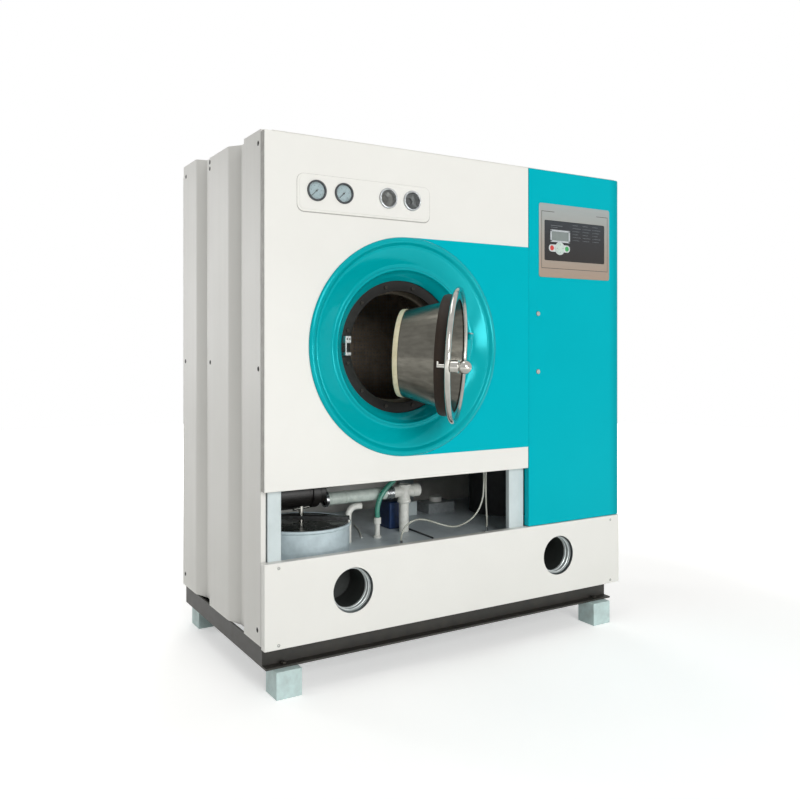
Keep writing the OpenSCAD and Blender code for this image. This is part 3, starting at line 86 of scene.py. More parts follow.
def finish(name, main, other, spread_mm, rough, grain_mm, relief_mm, **surface):
    """Two close colours in soft patches, roughness that varies, and a fine relief."""
    mat, tree, shader, spot = new_material(name, **surface)
    patch = add(tree, "TexNoise", {"Scale": 1000 / spread_mm, "Detail": 4, "Roughness": 0.6}, {"Vector": spot})
    tone = add(tree, "Mix", {"data_type": "RGBA", 6: linear(main), 7: linear(other)})
    steps = add(tree, "MapRange", {"From Min": 0.35, "From Max": 0.72}, {"Value": patch.outputs["Fac"]})
    tree.links.new(steps.outputs[0], tone.inputs[0])
    tree.links.new(tone.outputs[2], shader.inputs["Base Color"])
    gloss = add(tree, "MapRange", {"To Min": rough[0], "To Max": rough[1]}, {"Value": patch.outputs["Fac"]})
    tree.links.new(gloss.outputs[0], shader.inputs["Roughness"])
    grain = add(tree, "TexNoise", {"Scale": 1000 / grain_mm, "Detail": 2}, {"Vector": spot})
    relief = add(tree, "Bump", {"Strength": 0.5, "Distance": relief_mm / 1000}, {"Height": grain.outputs["Fac"]})
    tree.links.new(relief.outputs[0], shader.inputs["Normal"])
    return mat


def seat(x, y, z):
    """From the left side, back from the front panels and up, in mm, to the frame's metres."""
    return Vector(((x - 725) / 1000, (y - 249.5157) / 1000, z / 1000))


def smooth_line(points, steps):
    """A smooth line through the points, with so many steps from each to the next."""
    line = []
    for i in range(len(points) - 1):
        a, b, c, d = [Vector(points[min(max(i + k, 0), len(points) - 1)]) for k in (-1, 0, 1, 2)]
        for k in range(steps):
            t = k / steps
            line.append(0.5 * (2 * b + (c - a) * t + (2 * a - 5 * b + 4 * c - d) * t * t
                               + (3 * b - a - 3 * c + d) * t ** 3))
    return line + [Vector(points[-1])]


# Plasticised PVC: clear, slightly tinted and a little cloudy from use.
hose_pvc = finish("green_pvc_hose", "#63c2ab", "#45a08a", 30, (0.22, 0.38), 6, 0.05,
                  Transmission_Weight=0.45, IOR=1.53)
tube_pvc = finish("clear_pvc_tube", "#e7e9df", "#cfd3c4", 40, (0.15, 0.3), 5, 0.03,
                  Transmission_Weight=0.55, IOR=1.53)


def hose(name, points, radius, material):
    route = [seat(*point) for point in smooth_line(points, 6)]
    line = bpy.data.curves.new(name, "CURVE")
    line.dimensions = "3D"
    line.bevel_depth = radius / 1000
    line.bevel_resolution = 4
    line.use_fill_caps = True
    spline = line.splines.new("POLY")
    spline.points.add(len(route) - 1)
    for point, place in zip(spline.points, route):
        point.co = (*place, 1)
    spline.use_smooth = True
    obj = bpy.data.objects.new(name, line)
    bpy.context.scene.collection.objects.link(obj)
    line.materials.append(material)
    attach(obj, "cabinet")
    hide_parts("bay_hoses")


drain_x, drain_y, drain_z = 633, 268, 670
hose("drain_hose", [(524, 250, tank_top + 72.3), (524, 250, tank_top + 80), (524, 250, 470), (536, 250, 505),
                    (562, 250, 538), (594, 253, 562), (620, 260, 588), (632, 266, 620),
                    (drain_x, drain_y, drain_z - 20), (drain_x, drain_y, drain_z - 10),
                    (drain_x, drain_y, drain_z - 0.3)], 9, hose_pvc)
hose("left_tube", [(526, 92, tank_top + 22.3), (526, 92, tank_top + 30), (531, 92, 412), (548, 94, 434),
                   (590, 98, 448), (640, 102, 440), (700, 106, 418), (760, 110, 404), (820, 114, 416),
                   (862, 116, 446), (886, 118, 490), (893, 120, 540), (895, 122, 600),
                   (895, 122, rail_seat - 0.3)], 3, tube_pvc)
hose("right_tube", [(905, 118, tank_top + 22.3), (905, 118, tank_top + 30), (906, 119, 420), (903, 120, 480),
                    (903, 121, 540), (905, 122, 600), (907, 122, rail_seat - 0.3)], 3, tube_pvc)

# ---- Floor, backdrop and lamps ------------------------------------------------
# A plain pale floor that fades into a white backdrop, and five soft lamps: one high in
# front, a low one that reaches into the bay, one behind each side and a strip above.
floor_mesh = bmesh.new()
bmesh.ops.create_circle(floor_mesh, cap_ends=True, radius=9, segments=96)
floor = bpy.data.objects.new("studio_floor", bpy.data.meshes.new("studio_floor"))
floor_mesh.to_mesh(floor.data)
floor_mesh.free()
bpy.context.scene.collection.objects.link(floor)


def seen_ray(tree):
    """1 for what the camera sees, straight or by way of metal and glass, and 0 for light on the object."""
    path = add(tree, "LightPath")
    direct = add(tree, "Math", {"operation": "MAXIMUM"},
                 {0: path.outputs["Is Camera Ray"], 1: path.outputs["Is Glossy Ray"]})
    return add(tree, "Math", {"operation": "MAXIMUM"}, {0: direct.outputs[0], 1: path.outputs["Is Transmission Ray"]})


# Matt floor paint, a little mottled. Where it is seen it brightens with distance, to meet the backdrop.
floor_paint, tree, shader, spot = new_material("matt_floor_paint", Roughness=0.75)
mottle = add(tree, "TexNoise", {"Scale": 1000 / 400, "Detail": 3}, {"Vector": spot})
tone = add(tree, "Mix", {"data_type": "RGBA", 6: linear("#f1f1ef"), 7: linear("#ecece9")},
           {0: mottle.outputs["Fac"]})
tree.links.new(tone.outputs[2], shader.inputs["Base Color"])
direct = seen_ray(tree)
away = add(tree, "VectorMath", {"operation": "LENGTH"}, {0: spot})
rise = add(tree, "MapRange", {"From Min": 1.5, "From Max": 4.0, "To Min": 0.42, "To Max": 1.2},
           {"Value": away.outputs["Value"]})
lift = add(tree, "Math", {"operation": "MULTIPLY"}, {0: direct.outputs[0], 1: rise.outputs[0]})
shader.inputs["Emission Color"].default_value = (1, 1, 1, 1)
tree.links.new(lift.outputs[0], shader.inputs["Emission Strength"])
floor.data.materials.append(floor_paint)

world = bpy.data.worlds.new("studio")
bpy.context.scene.world = world
world.use_nodes = True
tree = world.node_tree
sky = tree.nodes["Background"]
sky.inputs["Color"].default_value = (1, 1, 1, 1)
direct = seen_ray(tree)
strength = add(tree, "MapRange", {"To Min": 0.28, "To Max": 1.0}, {"Value": direct.outputs[0]})
tree.links.new(strength.outputs[0], sky.inputs["Strength"])


def soft_box(name, place, aim, size, watts):
    lamp = bpy.data.objects.new(name, bpy.data.lights.new(name, "AREA"))
    bpy.context.scene.collection.objects.link(lamp)
    lamp.data.shape = "RECTANGLE"
    lamp.data.size, lamp.data.size_y = size
    lamp.data.energy = watts
    lamp.location = place
    lamp.rotation_euler = (Vector(aim) - Vector(place)).to_track_quat("-Z", "Y").to_euler()


soft_box("key_box", (-1.2, -6.8, 3.2), (0, 0, 0.9), (2.6, 2.6), 207)
soft_box("low_box", (0.9, -5.5, 0.75), (0.1, 0, 0.6), (2.2, 0.6), 62)
soft_box("left_box", (-3.6, 5.6, 1.7), (-0.7, 0.1, 0.9), (1.2, 2.6), 96)
soft_box("top_strip", (-0.6, 0.4, 4.2), (0, 0.2, 1.0), (3.0, 1.0), 30)
soft_box("rear_box", (2.6, 6.0, 2.6), (0, 0, 0.8), (2.5, 2.5), 90)

# ---- Base frame and feet ---------------------------------------------------------
# Welded steel angle, 61 mm high, with two cross bearers, brushed with black enamel.
# It stands on four square pads, each held by one bolt through the lower flange.


def in_mm(v):
    return v.x * 1000 + 725, v.y * 1000 + 249.5157, v.z * 1000


def place(name, mesh, materials, body, nodes, slot):
    for mat in materials:
        mesh.materials.append(mat)
    obj = bpy.data.objects.new(name, mesh)
    bpy.context.scene.collection.objects.link(obj)
    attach(obj, body)
    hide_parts(*nodes)
    return obj


def shade(obj, sharp=32):
    obj.data.polygons.foreach_set("use_smooth", [True] * len(obj.data.polygons))
    obj.data.set_sharp_from_angle(angle=radians(sharp))
    obj.modifiers.new("even_shading", "WEIGHTED_NORMAL").keep_sharp = True
    return obj


def edged(name, node, materials, body, slot, radius, steps=2, keep=None, pick=None):
    """The solid of a node, or the part of it inside keep, with its hard edges rounded."""
    bm = bmesh.new()
    bm.from_mesh(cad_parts[node].data)
    bmesh.ops.remove_doubles(bm, verts=bm.verts, dist=2e-6)
    if keep:
        bmesh.ops.delete(bm, geom=[v for v in bm.verts if not keep(*in_mm(v.co))], context="VERTS")
    bmesh.ops.dissolve_limit(bm, angle_limit=radians(0.5), verts=bm.verts, edges=bm.edges)
    for face in bm.faces:
        face.material_index = pick(*in_mm(face.calc_center_median())) if pick else 0
    mesh = bpy.data.meshes.new(name)
    bm.to_mesh(mesh)
    bm.free()
    obj = place(name, mesh, materials, body, [node], slot)
    rounding = obj.modifiers.new("rounded_edges", "BEVEL")
    rounding.width = radius / 1000
    rounding.segments = steps
    rounding.limit_method = "ANGLE"
    rounding.angle_limit = radians(28)
    return shade(obj)


# Brushed enamel over rolled angle is dull and uneven, with dust on its flats. The pads have a
# thick smooth paint, and the bolts are blackened, with a low shine.
black_enamel = finish("brushed_black_enamel", "#191813", "#2b2822", 45, (0.38, 0.62), 2.5, 0.12)
foot_paint = finish("pale_grey_foot_paint", "#c6dcda", "#aebfbd", 40, (0.42, 0.6), 2, 0.08)
dark_bolt = finish("blackened_bolt_steel", "#2a2825", "#45413b", 4, (0.3, 0.5), 0.8, 0.05, Metallic=0.75)
edged("angle_base", "base_frame", [black_enamel], "cabinet", "black_paint", 1.4)
edged("square_feet", "feet", [foot_paint], "cabinet", "foot_plastic", 5, 3)
edged("foot_bolts", "fasteners", [dark_bolt], "cabinet", "zinc", 0.9, 2, keep=lambda x, y, z: z < 110)

# ---- Posts and rails -----------------------------------------------------------------
# Six upright hollow sections and the rails between them, painted pale blue-grey.
# Paint rolled on over drawn tube: even and half matt, with a fine grain.
post_paint = finish("pale_blue_grey_frame_paint", "#cfdadb", "#bfcaca", 120, (0.36, 0.5), 2.2, 0.06)
edged("posts_and_rails", "cabinet_frame", [post_paint], "cabinet", "frame_paint", 2.6, 3)

# ---- Solvent tank ----------------------------------------------------------------------
# A welded steel box that fills the base; its top is the floor of the service bay,
# painted grey-blue and stained where solvent has dripped.
# Hammer paint on welded plate: cloudy, with brownish drips, and glossy where it is wet.
tank_paint, tree, shader, spot = new_material("stained_tank_paint")
clouds = add(tree, "TexNoise", {"Scale": 1000 / 167, "Detail": 6, "Roughness": 0.62}, {"Vector": spot})
tones = add(tree, "ValToRGB", links={"Fac": clouds.outputs["Fac"]})
tones.color_ramp.elements[0].position, tones.color_ramp.elements[0].color = 0.34, linear("#bac5ca")
tones.color_ramp.elements[1].position, tones.color_ramp.elements[1].color = 0.72, linear("#dce5e8")
drips = add(tree, "TexNoise", {"Scale": 1000 / 26.3, "Detail": 5, "Roughness": 0.7}, {"Vector": spot})
drips_seen = add(tree, "MapRange", {"From Min": 0.6, "From Max": 0.74, "To Max": 0.55},
                 {"Value": drips.outputs["Fac"]})
stain = add(tree, "Mix", {"data_type": "RGBA", 7: linear("#6f675c")},
            {0: drips_seen.outputs[0], 6: tones.outputs["Color"]})
tree.links.new(stain.outputs[2], shader.inputs["Base Color"])
wet = add(tree, "MapRange", {"To Min": 0.2, "To Max": 0.55}, {"Value": clouds.outputs["Fac"]})
tree.links.new(wet.outputs[0], shader.inputs["Roughness"])
hammer = add(tree, "Bump", {"Strength": 0.35, "Distance": 0.0002}, {"Height": drips.outputs["Fac"]})
tree.links.new(hammer.outputs[0], shader.inputs["Normal"])
edged("tank_body", "solvent_tank", [tank_paint], "cabinet", "tank_paint", 3, 3)

# ---- Collars behind the skirt's openings ----------------------------------------------------
# Collars spun from zinc-coated sheet, each with a rolled lip, a groove and an inner bead,
# welded to the tank. Behind them a matt, nearly black cup closes each neck: painted shade.
# The spun zinc is bright and a little hazy.
to_frame = Matrix.Translation((-0.725, -0.2495157, 0)) @ Matrix.Scale(0.001, 4)
bright_zinc = finish("spun_zinc_collar", "#e3e9e8", "#c6cfce", 20, (0.26, 0.4), 2, 0.03, Metallic=0.35)
neck_painted_shade = finish("painted_shade_in_necks", "#2c302e", "#222624", 60, (0.5, 0.7), 6, 0.1)
neck_z = 277
neck_x = (296, 1143)


def turned(bm, section, steps=96, closed=False, centre=(0, 0, 0), axis=(0, 1, 0), arc=2 * pi):
    """Spins points (radius, distance along the axis) about an upright or a front-to-back axis."""
    flat = Vector(axis).y > 0.5
    for part in (*bm.verts, *bm.faces):
        part.tag = True
    spots = [bm.verts.new((r, d, 0) if flat else (r, 0, d)) for r, d in section]
    edges = [bm.edges.new(pair) for pair in zip(spots, spots[1:] + (spots[:1] if closed else []))]
    bmesh.ops.spin(bm, geom=spots + edges, cent=(0, 0, 0), axis=axis, angle=arc, steps=steps, use_merge=arc > 6.28)
    bmesh.ops.remove_doubles(bm, verts=[v for v in bm.verts if not v.tag], dist=1e-3)
    ring = [v for v in bm.verts if not v.tag]
    faces = [f for f in bm.faces if not f.tag]
    bmesh.ops.recalc_face_normals(bm, faces=faces)
    bmesh.ops.translate(bm, vec=centre, verts=ring)
    return ring


def made(name, bm, materials, body, nodes, slot, sharp=32):
    bmesh.ops.transform(bm, matrix=to_frame, verts=bm.verts)
    mesh = bpy.data.meshes.new(name)
    bm.to_mesh(mesh)
    bm.free()
    return shade(place(name, mesh, materials, body, nodes, slot), sharp)


def rounded(points, radius, steps=4, closed=False):
    """Rounds the corners of a line of points (u, v) with a radius, as a fold or a spun corner has."""
    result = []
    count = len(points)
    for i, point in enumerate(points):
        p = Vector(point[:2])
        r = point[2] if len(point) > 2 else radius
        if r <= 0 or (not closed and i in (0, count - 1)):
            result.append(tuple(p))
            continue
        a, b = Vector(points[i - 1][:2]) - p, Vector(points[(i + 1) % count][:2]) - p
        cut = min(r, a.length * 0.49, b.length * 0.49)
        a, b = p + a.normalized() * cut, p + b.normalized() * cut
        for k in range(steps + 1):
            t = k / steps
            result.append(tuple((1 - t) ** 2 * a + 2 * t * (1 - t) * p + t * t * b))
    return result


bm = bmesh.new()
for x in neck_x:
    neck = [(66.9, 40), (66.9, 12), (66.4, 9.4), (65.6, 9.2), (65.1, 11), (65.1, 16), (62.6, 17.5), (62.6, 25),
            (64.6, 26.5), (64.6, 31), (62, 32.5), (62, 40)]
    turned(bm, rounded(neck, 0.8, closed=True), closed=True, centre=(x, 0, neck_z))
made("neck_collars", bm, [bright_zinc], "cabinet", ["tank_necks"], "galvanised", 40)
bm = bmesh.new()
for x in neck_x:
    turned(bm, [(66.9, 40.2), (61, 40.2), (61, 140), (0, 144), (0, 147), (66.9, 147)], closed=True,
           centre=(x, 0, neck_z))
made("neck_throats", bm, [neck_painted_shade], "cabinet", ["tank_necks"], "galvanised", 40)

# ---- White sheet panels: skirt and front panel ---------------------------------------------
# 1.5 mm steel, cut, folded back along every edge and powder coated white, with
# a faint orange peel. The skirt has two round openings and four corner screws.
sheet_t, cabinet_w, cabinet_top = 1.5, 1450, 1676


def flat_sheet(bm, outline, holes, y=0, cuts=()):
    """A face at depth y with round holes (x, z, radius, sides) and other cut-outs; gives its corners."""
    edges = []
    for line in (*cuts, outline):
        corners = [bm.verts.new((x, y, z)) for x, z in line]
        edges += [bm.edges.new(pair) for pair in zip(corners, corners[1:] + corners[:1])]
    for x, z, r, sides in holes:
        disc = bmesh.ops.create_circle(bm, radius=r, segments=sides, matrix=Matrix.Translation((x, y, z))
                                       @ Matrix.Rotation(pi / 2, 4, "X"))
        edges += list({e for v in disc["verts"] for e in v.link_edges})
    bmesh.ops.triangle_fill(bm, edges=edges, use_beauty=True, normal=(0, -1, 0))
    return corners


def extruded(bm, edges, move):
    """Draws edges out by move, and gives the new vertices and edges."""
    strip = bmesh.ops.extrude_edge_only(bm, edges=edges)["geom"]
    moved = [v for v in strip if isinstance(v, bmesh.types.BMVert)]
    bmesh.ops.translate(bm, vec=move, verts=moved)
    return moved, [e for e in strip if isinstance(e, bmesh.types.BMEdge)]


def face_out(bm, along):
    """Turns the faces so that an open sheet's outer side looks along a direction."""
    if sum(f.normal.dot(along) * f.calc_area() for f in bm.faces) < 0:
        bmesh.ops.reverse_faces(bm, faces=bm.faces)


def give_wall(obj):
    """Gives an open sheet its thickness, inwards, and keeps its flats flat to the eye."""
    obj.modifiers.remove(obj.modifiers["even_shading"])
    wall = obj.modifiers.new("sheet_thickness", "SOLIDIFY")
    wall.thickness, wall.offset, wall.use_even_offset = sheet_t / 1000, -1, True
    obj.modifiers.new("even_shading", "WEIGHTED_NORMAL").keep_sharp = True
    return obj


def folded_panel(name, x0, x1, z0, z1, holes, depth, materials, body, nodes, slot, fold=2.4, cuts=(), roll=0):
    """A tray of sheet: a flat face with returns folded back; the right fold may be a large roll."""
    bm = bmesh.new()
    inset = 16
    corners = flat_sheet(bm, [(x0 + inset, z0 + inset), (x1 - inset, z0 + inset), (x1 - inset, z1 - inset),
                              (x0 + inset, z1 - inset)], holes, cuts=cuts)
    rim = [e for e in bm.edges if e.is_boundary and all(v in corners for v in e.verts)]
    for back in (0, depth):
        moved, rim = extruded(bm, rim, (0, 0, 0))
        for v in moved:
            v.co = (x0 if v.co.x < (x0 + x1) / 2 else x1, back, z0 if v.co.z < (z0 + z1) / 2 else z1)
        rim = [e for e in rim if e.is_boundary]
    bmesh.ops.recalc_face_normals(bm, faces=bm.faces)
    face_out(bm, Vector((0, -1, 0)))
    if roll:
        rolled = [e for e in bm.edges if all(v.co.x > x1 - 0.1 and v.co.y < 0.1 for v in e.verts)]
        bmesh.ops.bevel(bm, geom=rolled, offset=roll, affect="EDGES", segments=10, profile=0.5, material=-1)
    folds = [e for e in bm.edges if len(e.link_faces) == 2 and e.calc_face_angle(0) > 1]
    bmesh.ops.bevel(bm, geom=folds, offset=fold, affect="EDGES", segments=4, profile=0.5, material=-1,
                    clamp_overlap=True)
    if len(materials) > 1:
        for face in bm.faces:
            face.material_index = int(abs(face.normal.y) < 0.1)
    obj = give_wall(made(name, bm, materials, body, nodes, slot))
    obj.modifiers["sheet_thickness"].use_even_offset = not roll
    return obj


def coated(name, main, other, drift, gloss, reliefs, **surface):
    """A sprayed, fired or plated coat: two colours that drift into each other and a gloss that follows them.

    drift is the patches' size in mm, detail and roughness. Each relief is the size in mm and detail of its
    own noise, or none for the drift's, with a strength and a depth in mm."""
    mat, tree, shader, spot = new_material(name, **surface)
    veil = add(tree, "TexNoise", {"Scale": 1000 / drift[0], "Detail": drift[1], "Roughness": drift[2]},
               {"Vector": spot}).outputs["Fac"]
    tone = add(tree, "Mix", {"data_type": "RGBA", 6: linear(main), 7: linear(other)}, {0: veil})
    tree.links.new(tone.outputs[2], shader.inputs["Base Color"])
    shine = add(tree, "MapRange", {"To Min": gloss[0], "To Max": gloss[1]}, {"Value": veil})
    tree.links.new(shine.outputs[0], shader.inputs["Roughness"])
    under = {}
    for grain, strength, depth in reliefs:
        height = veil
        if grain:
            height = add(tree, "TexNoise", {"Scale": 1000 / grain[0], "Detail": grain[1]},
                         {"Vector": spot}).outputs["Fac"]
        relief = add(tree, "Bump", {"Strength": strength, "Distance": depth / 1000}, {"Height": height, **under})
        under = {"Normal": relief.outputs[0]}
        tree.links.new(relief.outputs[0], shader.inputs["Normal"])
    return mat


# White powder coat over thin sheet: an orange peel of 4 mm, and soft waves where the sheet isn't quite flat.
white_coat = coated("white_powder_coat", "#edece7", "#e3e2dc", (417, 5, 0.6), (0.28, 0.42),
                    [((3.85, 2), 0.25, 0.06), ((312.5, 1), 0.3, 1.2)], Specular_IOR_Level=0.35)

screw_x, screw_z = (45, 1404), (150, 379)
folded_panel("white_skirt", 0, cabinet_w, 137, 395, [(x, neck_z, 70.5, 96) for x in neck_x], 25,
             [white_coat], "cabinet", ["skirt_panel"], "white_paint")
gauge_z = 1511
gauge_x = (168, 261, 419, 509)
ring_x, ring_z = 497, 1037
# The front panel's returns, the faces that do not look to the front, take a matt grey: painted shade, darker than the
# lit side sheets beside them.
returns_painted_shade = finish("painted_shade_on_returns", "#a09e97", "#8d8b85", 30, (0.5, 0.65), 2, 0.05)
folded_panel("white_front", 0, 1001, 606, cabinet_top,
             [(ring_x, ring_z, 346, 128)] + [(x, gauge_z, 29, 48) for x in gauge_x], 28,
             [white_coat, returns_painted_shade], "cabinet", ["front_panel"], "white_paint")

# Corner screws of the skirt: domed pan heads, zinc plated, so that each is a small cold glint.
screw_zinc = finish("zinc_plated_screw", "#b4b6b1", "#8f918c", 3, (0.3, 0.45), 0.6, 0.02, Metallic=0.8)
bm = bmesh.new()
for x in screw_x:
    for z in screw_z:
        turned(bm, [(0, -2.4), (2.6, -2.3), (4.2, -1.6), (4.9, -0.5), (4.9, 0), (2.4, 0), (2.4, 11), (0, 11)], 24,
               centre=(x, 0, z))
made("skirt_screws", bm, [screw_zinc], "cabinet", ["fasteners"], "zinc", 40)

# ---- Gauge plate -----------------------------------------------------------------------
# A shallow pressed tray with rounded corners and a flange, riveted on the white front
# and painted with it. It carries two gauges and two sight glasses.


def rounded_outline(x0, x1, z0, z1, r, steps=8):
    places = [(x1 - r, z1 - r, 0), (x0 + r, z1 - r, 90), (x0 + r, z0 + r, 180), (x1 - r, z0 + r, 270)]
    return [(cx + r * cos(radians(a + 90 * k / steps)), cz + r * sin(radians(a + 90 * k / steps)))
            for cx, cz, a in places for k in range(steps + 1)]


def raised_plate(name, outline, holes, height, edge, materials, body, nodes, slot, cuts=()):
    """A plate that stands proud of the sheet behind it by height, with a rounded edge."""
    bm = bmesh.new()
    corners = flat_sheet(bm, outline, holes, -height, cuts)
    rim = [e for e in bm.edges if e.is_boundary]
    outer = [e for e in rim if all(v in corners for v in e.verts)]
    extruded(bm, rim, (0, height, 0))
    bmesh.ops.bevel(bm, geom=outer, offset=edge, affect="EDGES", segments=4, profile=0.5, material=-1)
    return made(name, bm, materials, body, nodes, slot)


raised_plate("gauge_tray", rounded_outline(110, 573, 1452, 1554, 18), [(x, gauge_z, 28.4, 64) for x in gauge_x],
             3, 1.5, [white_coat], "cabinet", ["gauge_plate"], "white_paint")
raised_plate("gauge_tray_flange", rounded_outline(104, 579, 1446, 1560, 22), [], 1.3, 0.9, [white_coat], "cabinet",
             ["gauge_plate"], "white_paint", cuts=[rounded_outline(110.2, 572.8, 1452.2, 1553.8, 18)])

# A thin matt grey band round the tray's flange: a painted contact shadow, which reads as a thin dark outline.
tray_painted_shadow_line = finish("painted_shadow_round_tray", "#a9a7a0", "#98968f", 14, (0.5, 0.65), 1.5, 0.05)
raised_plate("gauge_tray_painted_shadow", rounded_outline(103.1, 579.9, 1443, 1560.6, 23), [], 0.8, 0.6, [tray_painted_shadow_line], "cabinet",
             ["gauge_plate"], "white_paint", cuts=[rounded_outline(104.2, 578.8, 1446.2, 1559.8, 22)])

# ---- Gauges ----------------------------------------------------------------------------
# Two round pressure gauges of 65 mm: a dark pressed bezel, a pale blue dial with
# printed ticks and plain numbers, and a black needle that rests at zero.
# The bezels are enamelled dark and a little glossy, those of the sight glasses are satin chrome,
# and the dial ink is matt.
bezel_steel = finish("dark_bezel_enamel", "#4a4d50", "#35383a", 5, (0.22, 0.36), 1.5, 0.03, Metallic=0.5)
bright_bezel = finish("satin_chrome_bezel", "#b9bcbd", "#8f9395", 6, (0.16, 0.3), 2, 0.03, Metallic=0.9)
dial_ink = finish("dial_ink", "#23282c", "#2e3439", 5, (0.5, 0.6), 1, 0.005)
# Enamelled dial sheet: matt, pale blue, hardly mottled.
dial_face = coated("pale_blue_dial", "#b7c6ca", "#a2b1b6", (16.7, 3, 0.5), (0.4, 0.4), [(None, 0.2, 0.03)])

bm = bmesh.new()
for x in gauge_x[:2]:
    cup = [(26.2, -1), (26.2, -5.5), (27, -8.2), (28.5, -8.9), (30.4, -8.8), (32, -7.6), (32.4, -6), (32.4, -3.1),
           (27.9, -3.1), (27.9, 33.8), (0, 33.8)]
    turned(bm, rounded(cup, 0.5), 72, centre=(x, 0, gauge_z))
made("gauge_bezels", bm, [bezel_steel], "cabinet", ["gauge_cases"], "gauge_steel", 40)

bm = bmesh.new()
for x in gauge_x[:2]:
    turned(bm, [(1.8, 3), (1.8, -1), (25.6, -1), (26.1, -1.2), (26.1, 3)], 72, centre=(x, 0, gauge_z))
made("gauge_dials", bm, [dial_face], "cabinet", ["gauge_cases"], "gauge_steel", 40)

dial_print_y = -1.12


def tick(bm, x, angle, inner, outer, width):
    """A printed stroke from inner to outer, at an angle from the top of the dial at x."""
    bar = bmesh.ops.create_grid(bm, x_segments=1, y_segments=1, size=0.5)["verts"]
    bmesh.ops.scale(bm, vec=(width, outer - inner, 1), verts=bar)
    bmesh.ops.translate(bm, vec=(0, (outer + inner) / 2, 0), verts=bar)
    bmesh.ops.rotate(bm, cent=(0, 0, 0), matrix=Matrix.Rotation(pi / 2, 3, "X"), verts=bar)
    bmesh.ops.rotate(bm, cent=(0, 0, 0), matrix=Matrix.Rotation(radians(angle), 3, "Y"), verts=bar)
    bmesh.ops.translate(bm, vec=(x, dial_print_y, gauge_z), verts=bar)


def number(bm, text, x, angle, radius, size):
    """A printed number, upright, at an angle and radius on the dial at x."""
    line = bpy.data.curves.new("number", "FONT")
    line.body, line.size, line.align_x, line.align_y = text, size, "CENTER", "CENTER"
    line.resolution_u = 2
    obj = bpy.data.objects.new("number", line)
    bpy.context.scene.collection.objects.link(obj)
    mesh = bpy.data.meshes.new_from_object(obj.evaluated_get(bpy.context.evaluated_depsgraph_get()))
    spot = (x + radius * sin(radians(angle)), dial_print_y, gauge_z + radius * cos(radians(angle)))
    mesh.transform(Matrix.Translation(spot) @ Matrix.Rotation(pi / 2, 4, "X"))
    bm.from_mesh(mesh)
    bpy.data.objects.remove(obj)
    bpy.data.meshes.remove(mesh)


bm = bmesh.new()
for x, top in zip(gauge_x, (10, 6)):
    for i in range(41):
        angle = -135 + 270 * i / 40
        tick(bm, x, angle, 20.4 if i % 4 == 0 else 22, 24, 0.7 if i % 4 == 0 else 0.35)
    for i in range(6):
        number(bm, str(top * i // 5), x, -135 + 54 * i, 16.6, 5.2)
made("gauge_scales", bm, [dial_ink], "cabinet", ["gauge_cases"], "gauge_steel", 40)

# Matt black paint on a stamped needle.
needle_black = finish("black_needle_paint", "#1d1d1c", "#2c2b29", 3, (0.35, 0.5), 1, 0.01)
for side in ("left", "right"):
    edged("pointer_" + side, "needle_" + side, [needle_black], "needle_" + side, "needle_black", 0.12, 1)

# ---- Sight glasses ---------------------------------------------------------------------
# Two turned bezels like the gauges' that hold a glass over a dark chamber.
# Inside the sight chambers: brown-grey in the left one, painted light for the little light that falls in, and nearly
# black in the right one, painted shade.
chamber = finish("sight_chamber_painted_light", "#5e594f", "#3c3934", 12, (0.3, 0.5), 3, 0.05)
chamber_painted_shade = finish("sight_chamber_painted_shade", "#131413", "#20211f", 10, (0.25, 0.45), 3, 0.05)
bm = bmesh.new()
for x in gauge_x[2:]:
    cup = [(26, 20), (26, -6.5), (26.8, -9.6), (28.6, -10.8), (31, -10.4), (32.4, -8.4), (32.4, -3.1), (27.9, -3.1),
           (27.9, 25.5), (0, 25.5), (0, 24)]
    turned(bm, rounded(cup, 0.6), 72, centre=(x, 0, gauge_z))
made("sight_rings", bm, [bright_bezel], "cabinet", ["sight_bezels"], "chrome", 40)
for x, enamel, label in zip(gauge_x[2:], (chamber, chamber_painted_shade), ("left", "right")):
    bm = bmesh.new()
    turned(bm, rounded([(0, 19), (9, 19), (12, 15), (22, 12.5), (25.9, 12)], 1.5), 64, centre=(x, 0, gauge_z))
    made("sight_chamber_" + label, bm, [enamel], "cabinet", ["sight_bezels"], "chrome", 40)

# Blown clear glass, a little smeared by wiping.
gauge_glass = coated("gauge_glass", "#f4f8f8", "#e8eeee", (25, 3, 0.5), (0, 0.06), [], Transmission_Weight=1, IOR=1.5)
bm = bmesh.new()
for x in gauge_x:
    turned(bm, [(0, -7.3), (14, -7.1), (25.4, -6.2), (25.7, -5.6), (14, -5.7), (0, -5.8)], 64, centre=(x, 0, gauge_z))
made("gauge_glasses", bm, [gauge_glass], "cabinet", ["lenses"], "clear_glass", 50)

# ---- Door surround ------------------------------------------------------------------------
# One deep pressing in glossy teal: a rolled lip that covers the edge of the white
# front, a hollow band, a ridge and a funnel that narrows into the loading mouth.
# A flat teal sheet runs from under its lip to the cabinet door.
# The pressing is stove enamelled, so it mirrors softly; its highlights take the teal. The flat sheet
# beside it is powder coated in the same teal, which is duller and shows the orange peel.
teal_gloss = coated("glossy_teal_stove_enamel", "#00a9b0", "#009ca3", (312.5, 4, 0.55), (0.07, 0.15),
                    [((8.33, 2), 0.3, 0.06)], Specular_IOR_Level=0.5, Specular_Tint=(0.12, 0.88, 0.95, 1))
teal_coat = coated("teal_powder_coat", "#00b5c3", "#00adba", (385, 5, 0.6), (0.26, 0.4),
                   [((4.17, 2), 0.25, 0.06), ((333, 1), 0.3, 1.2)], Specular_IOR_Level=0.12,
                   Specular_Tint=(0.12, 0.8, 0.88, 1))

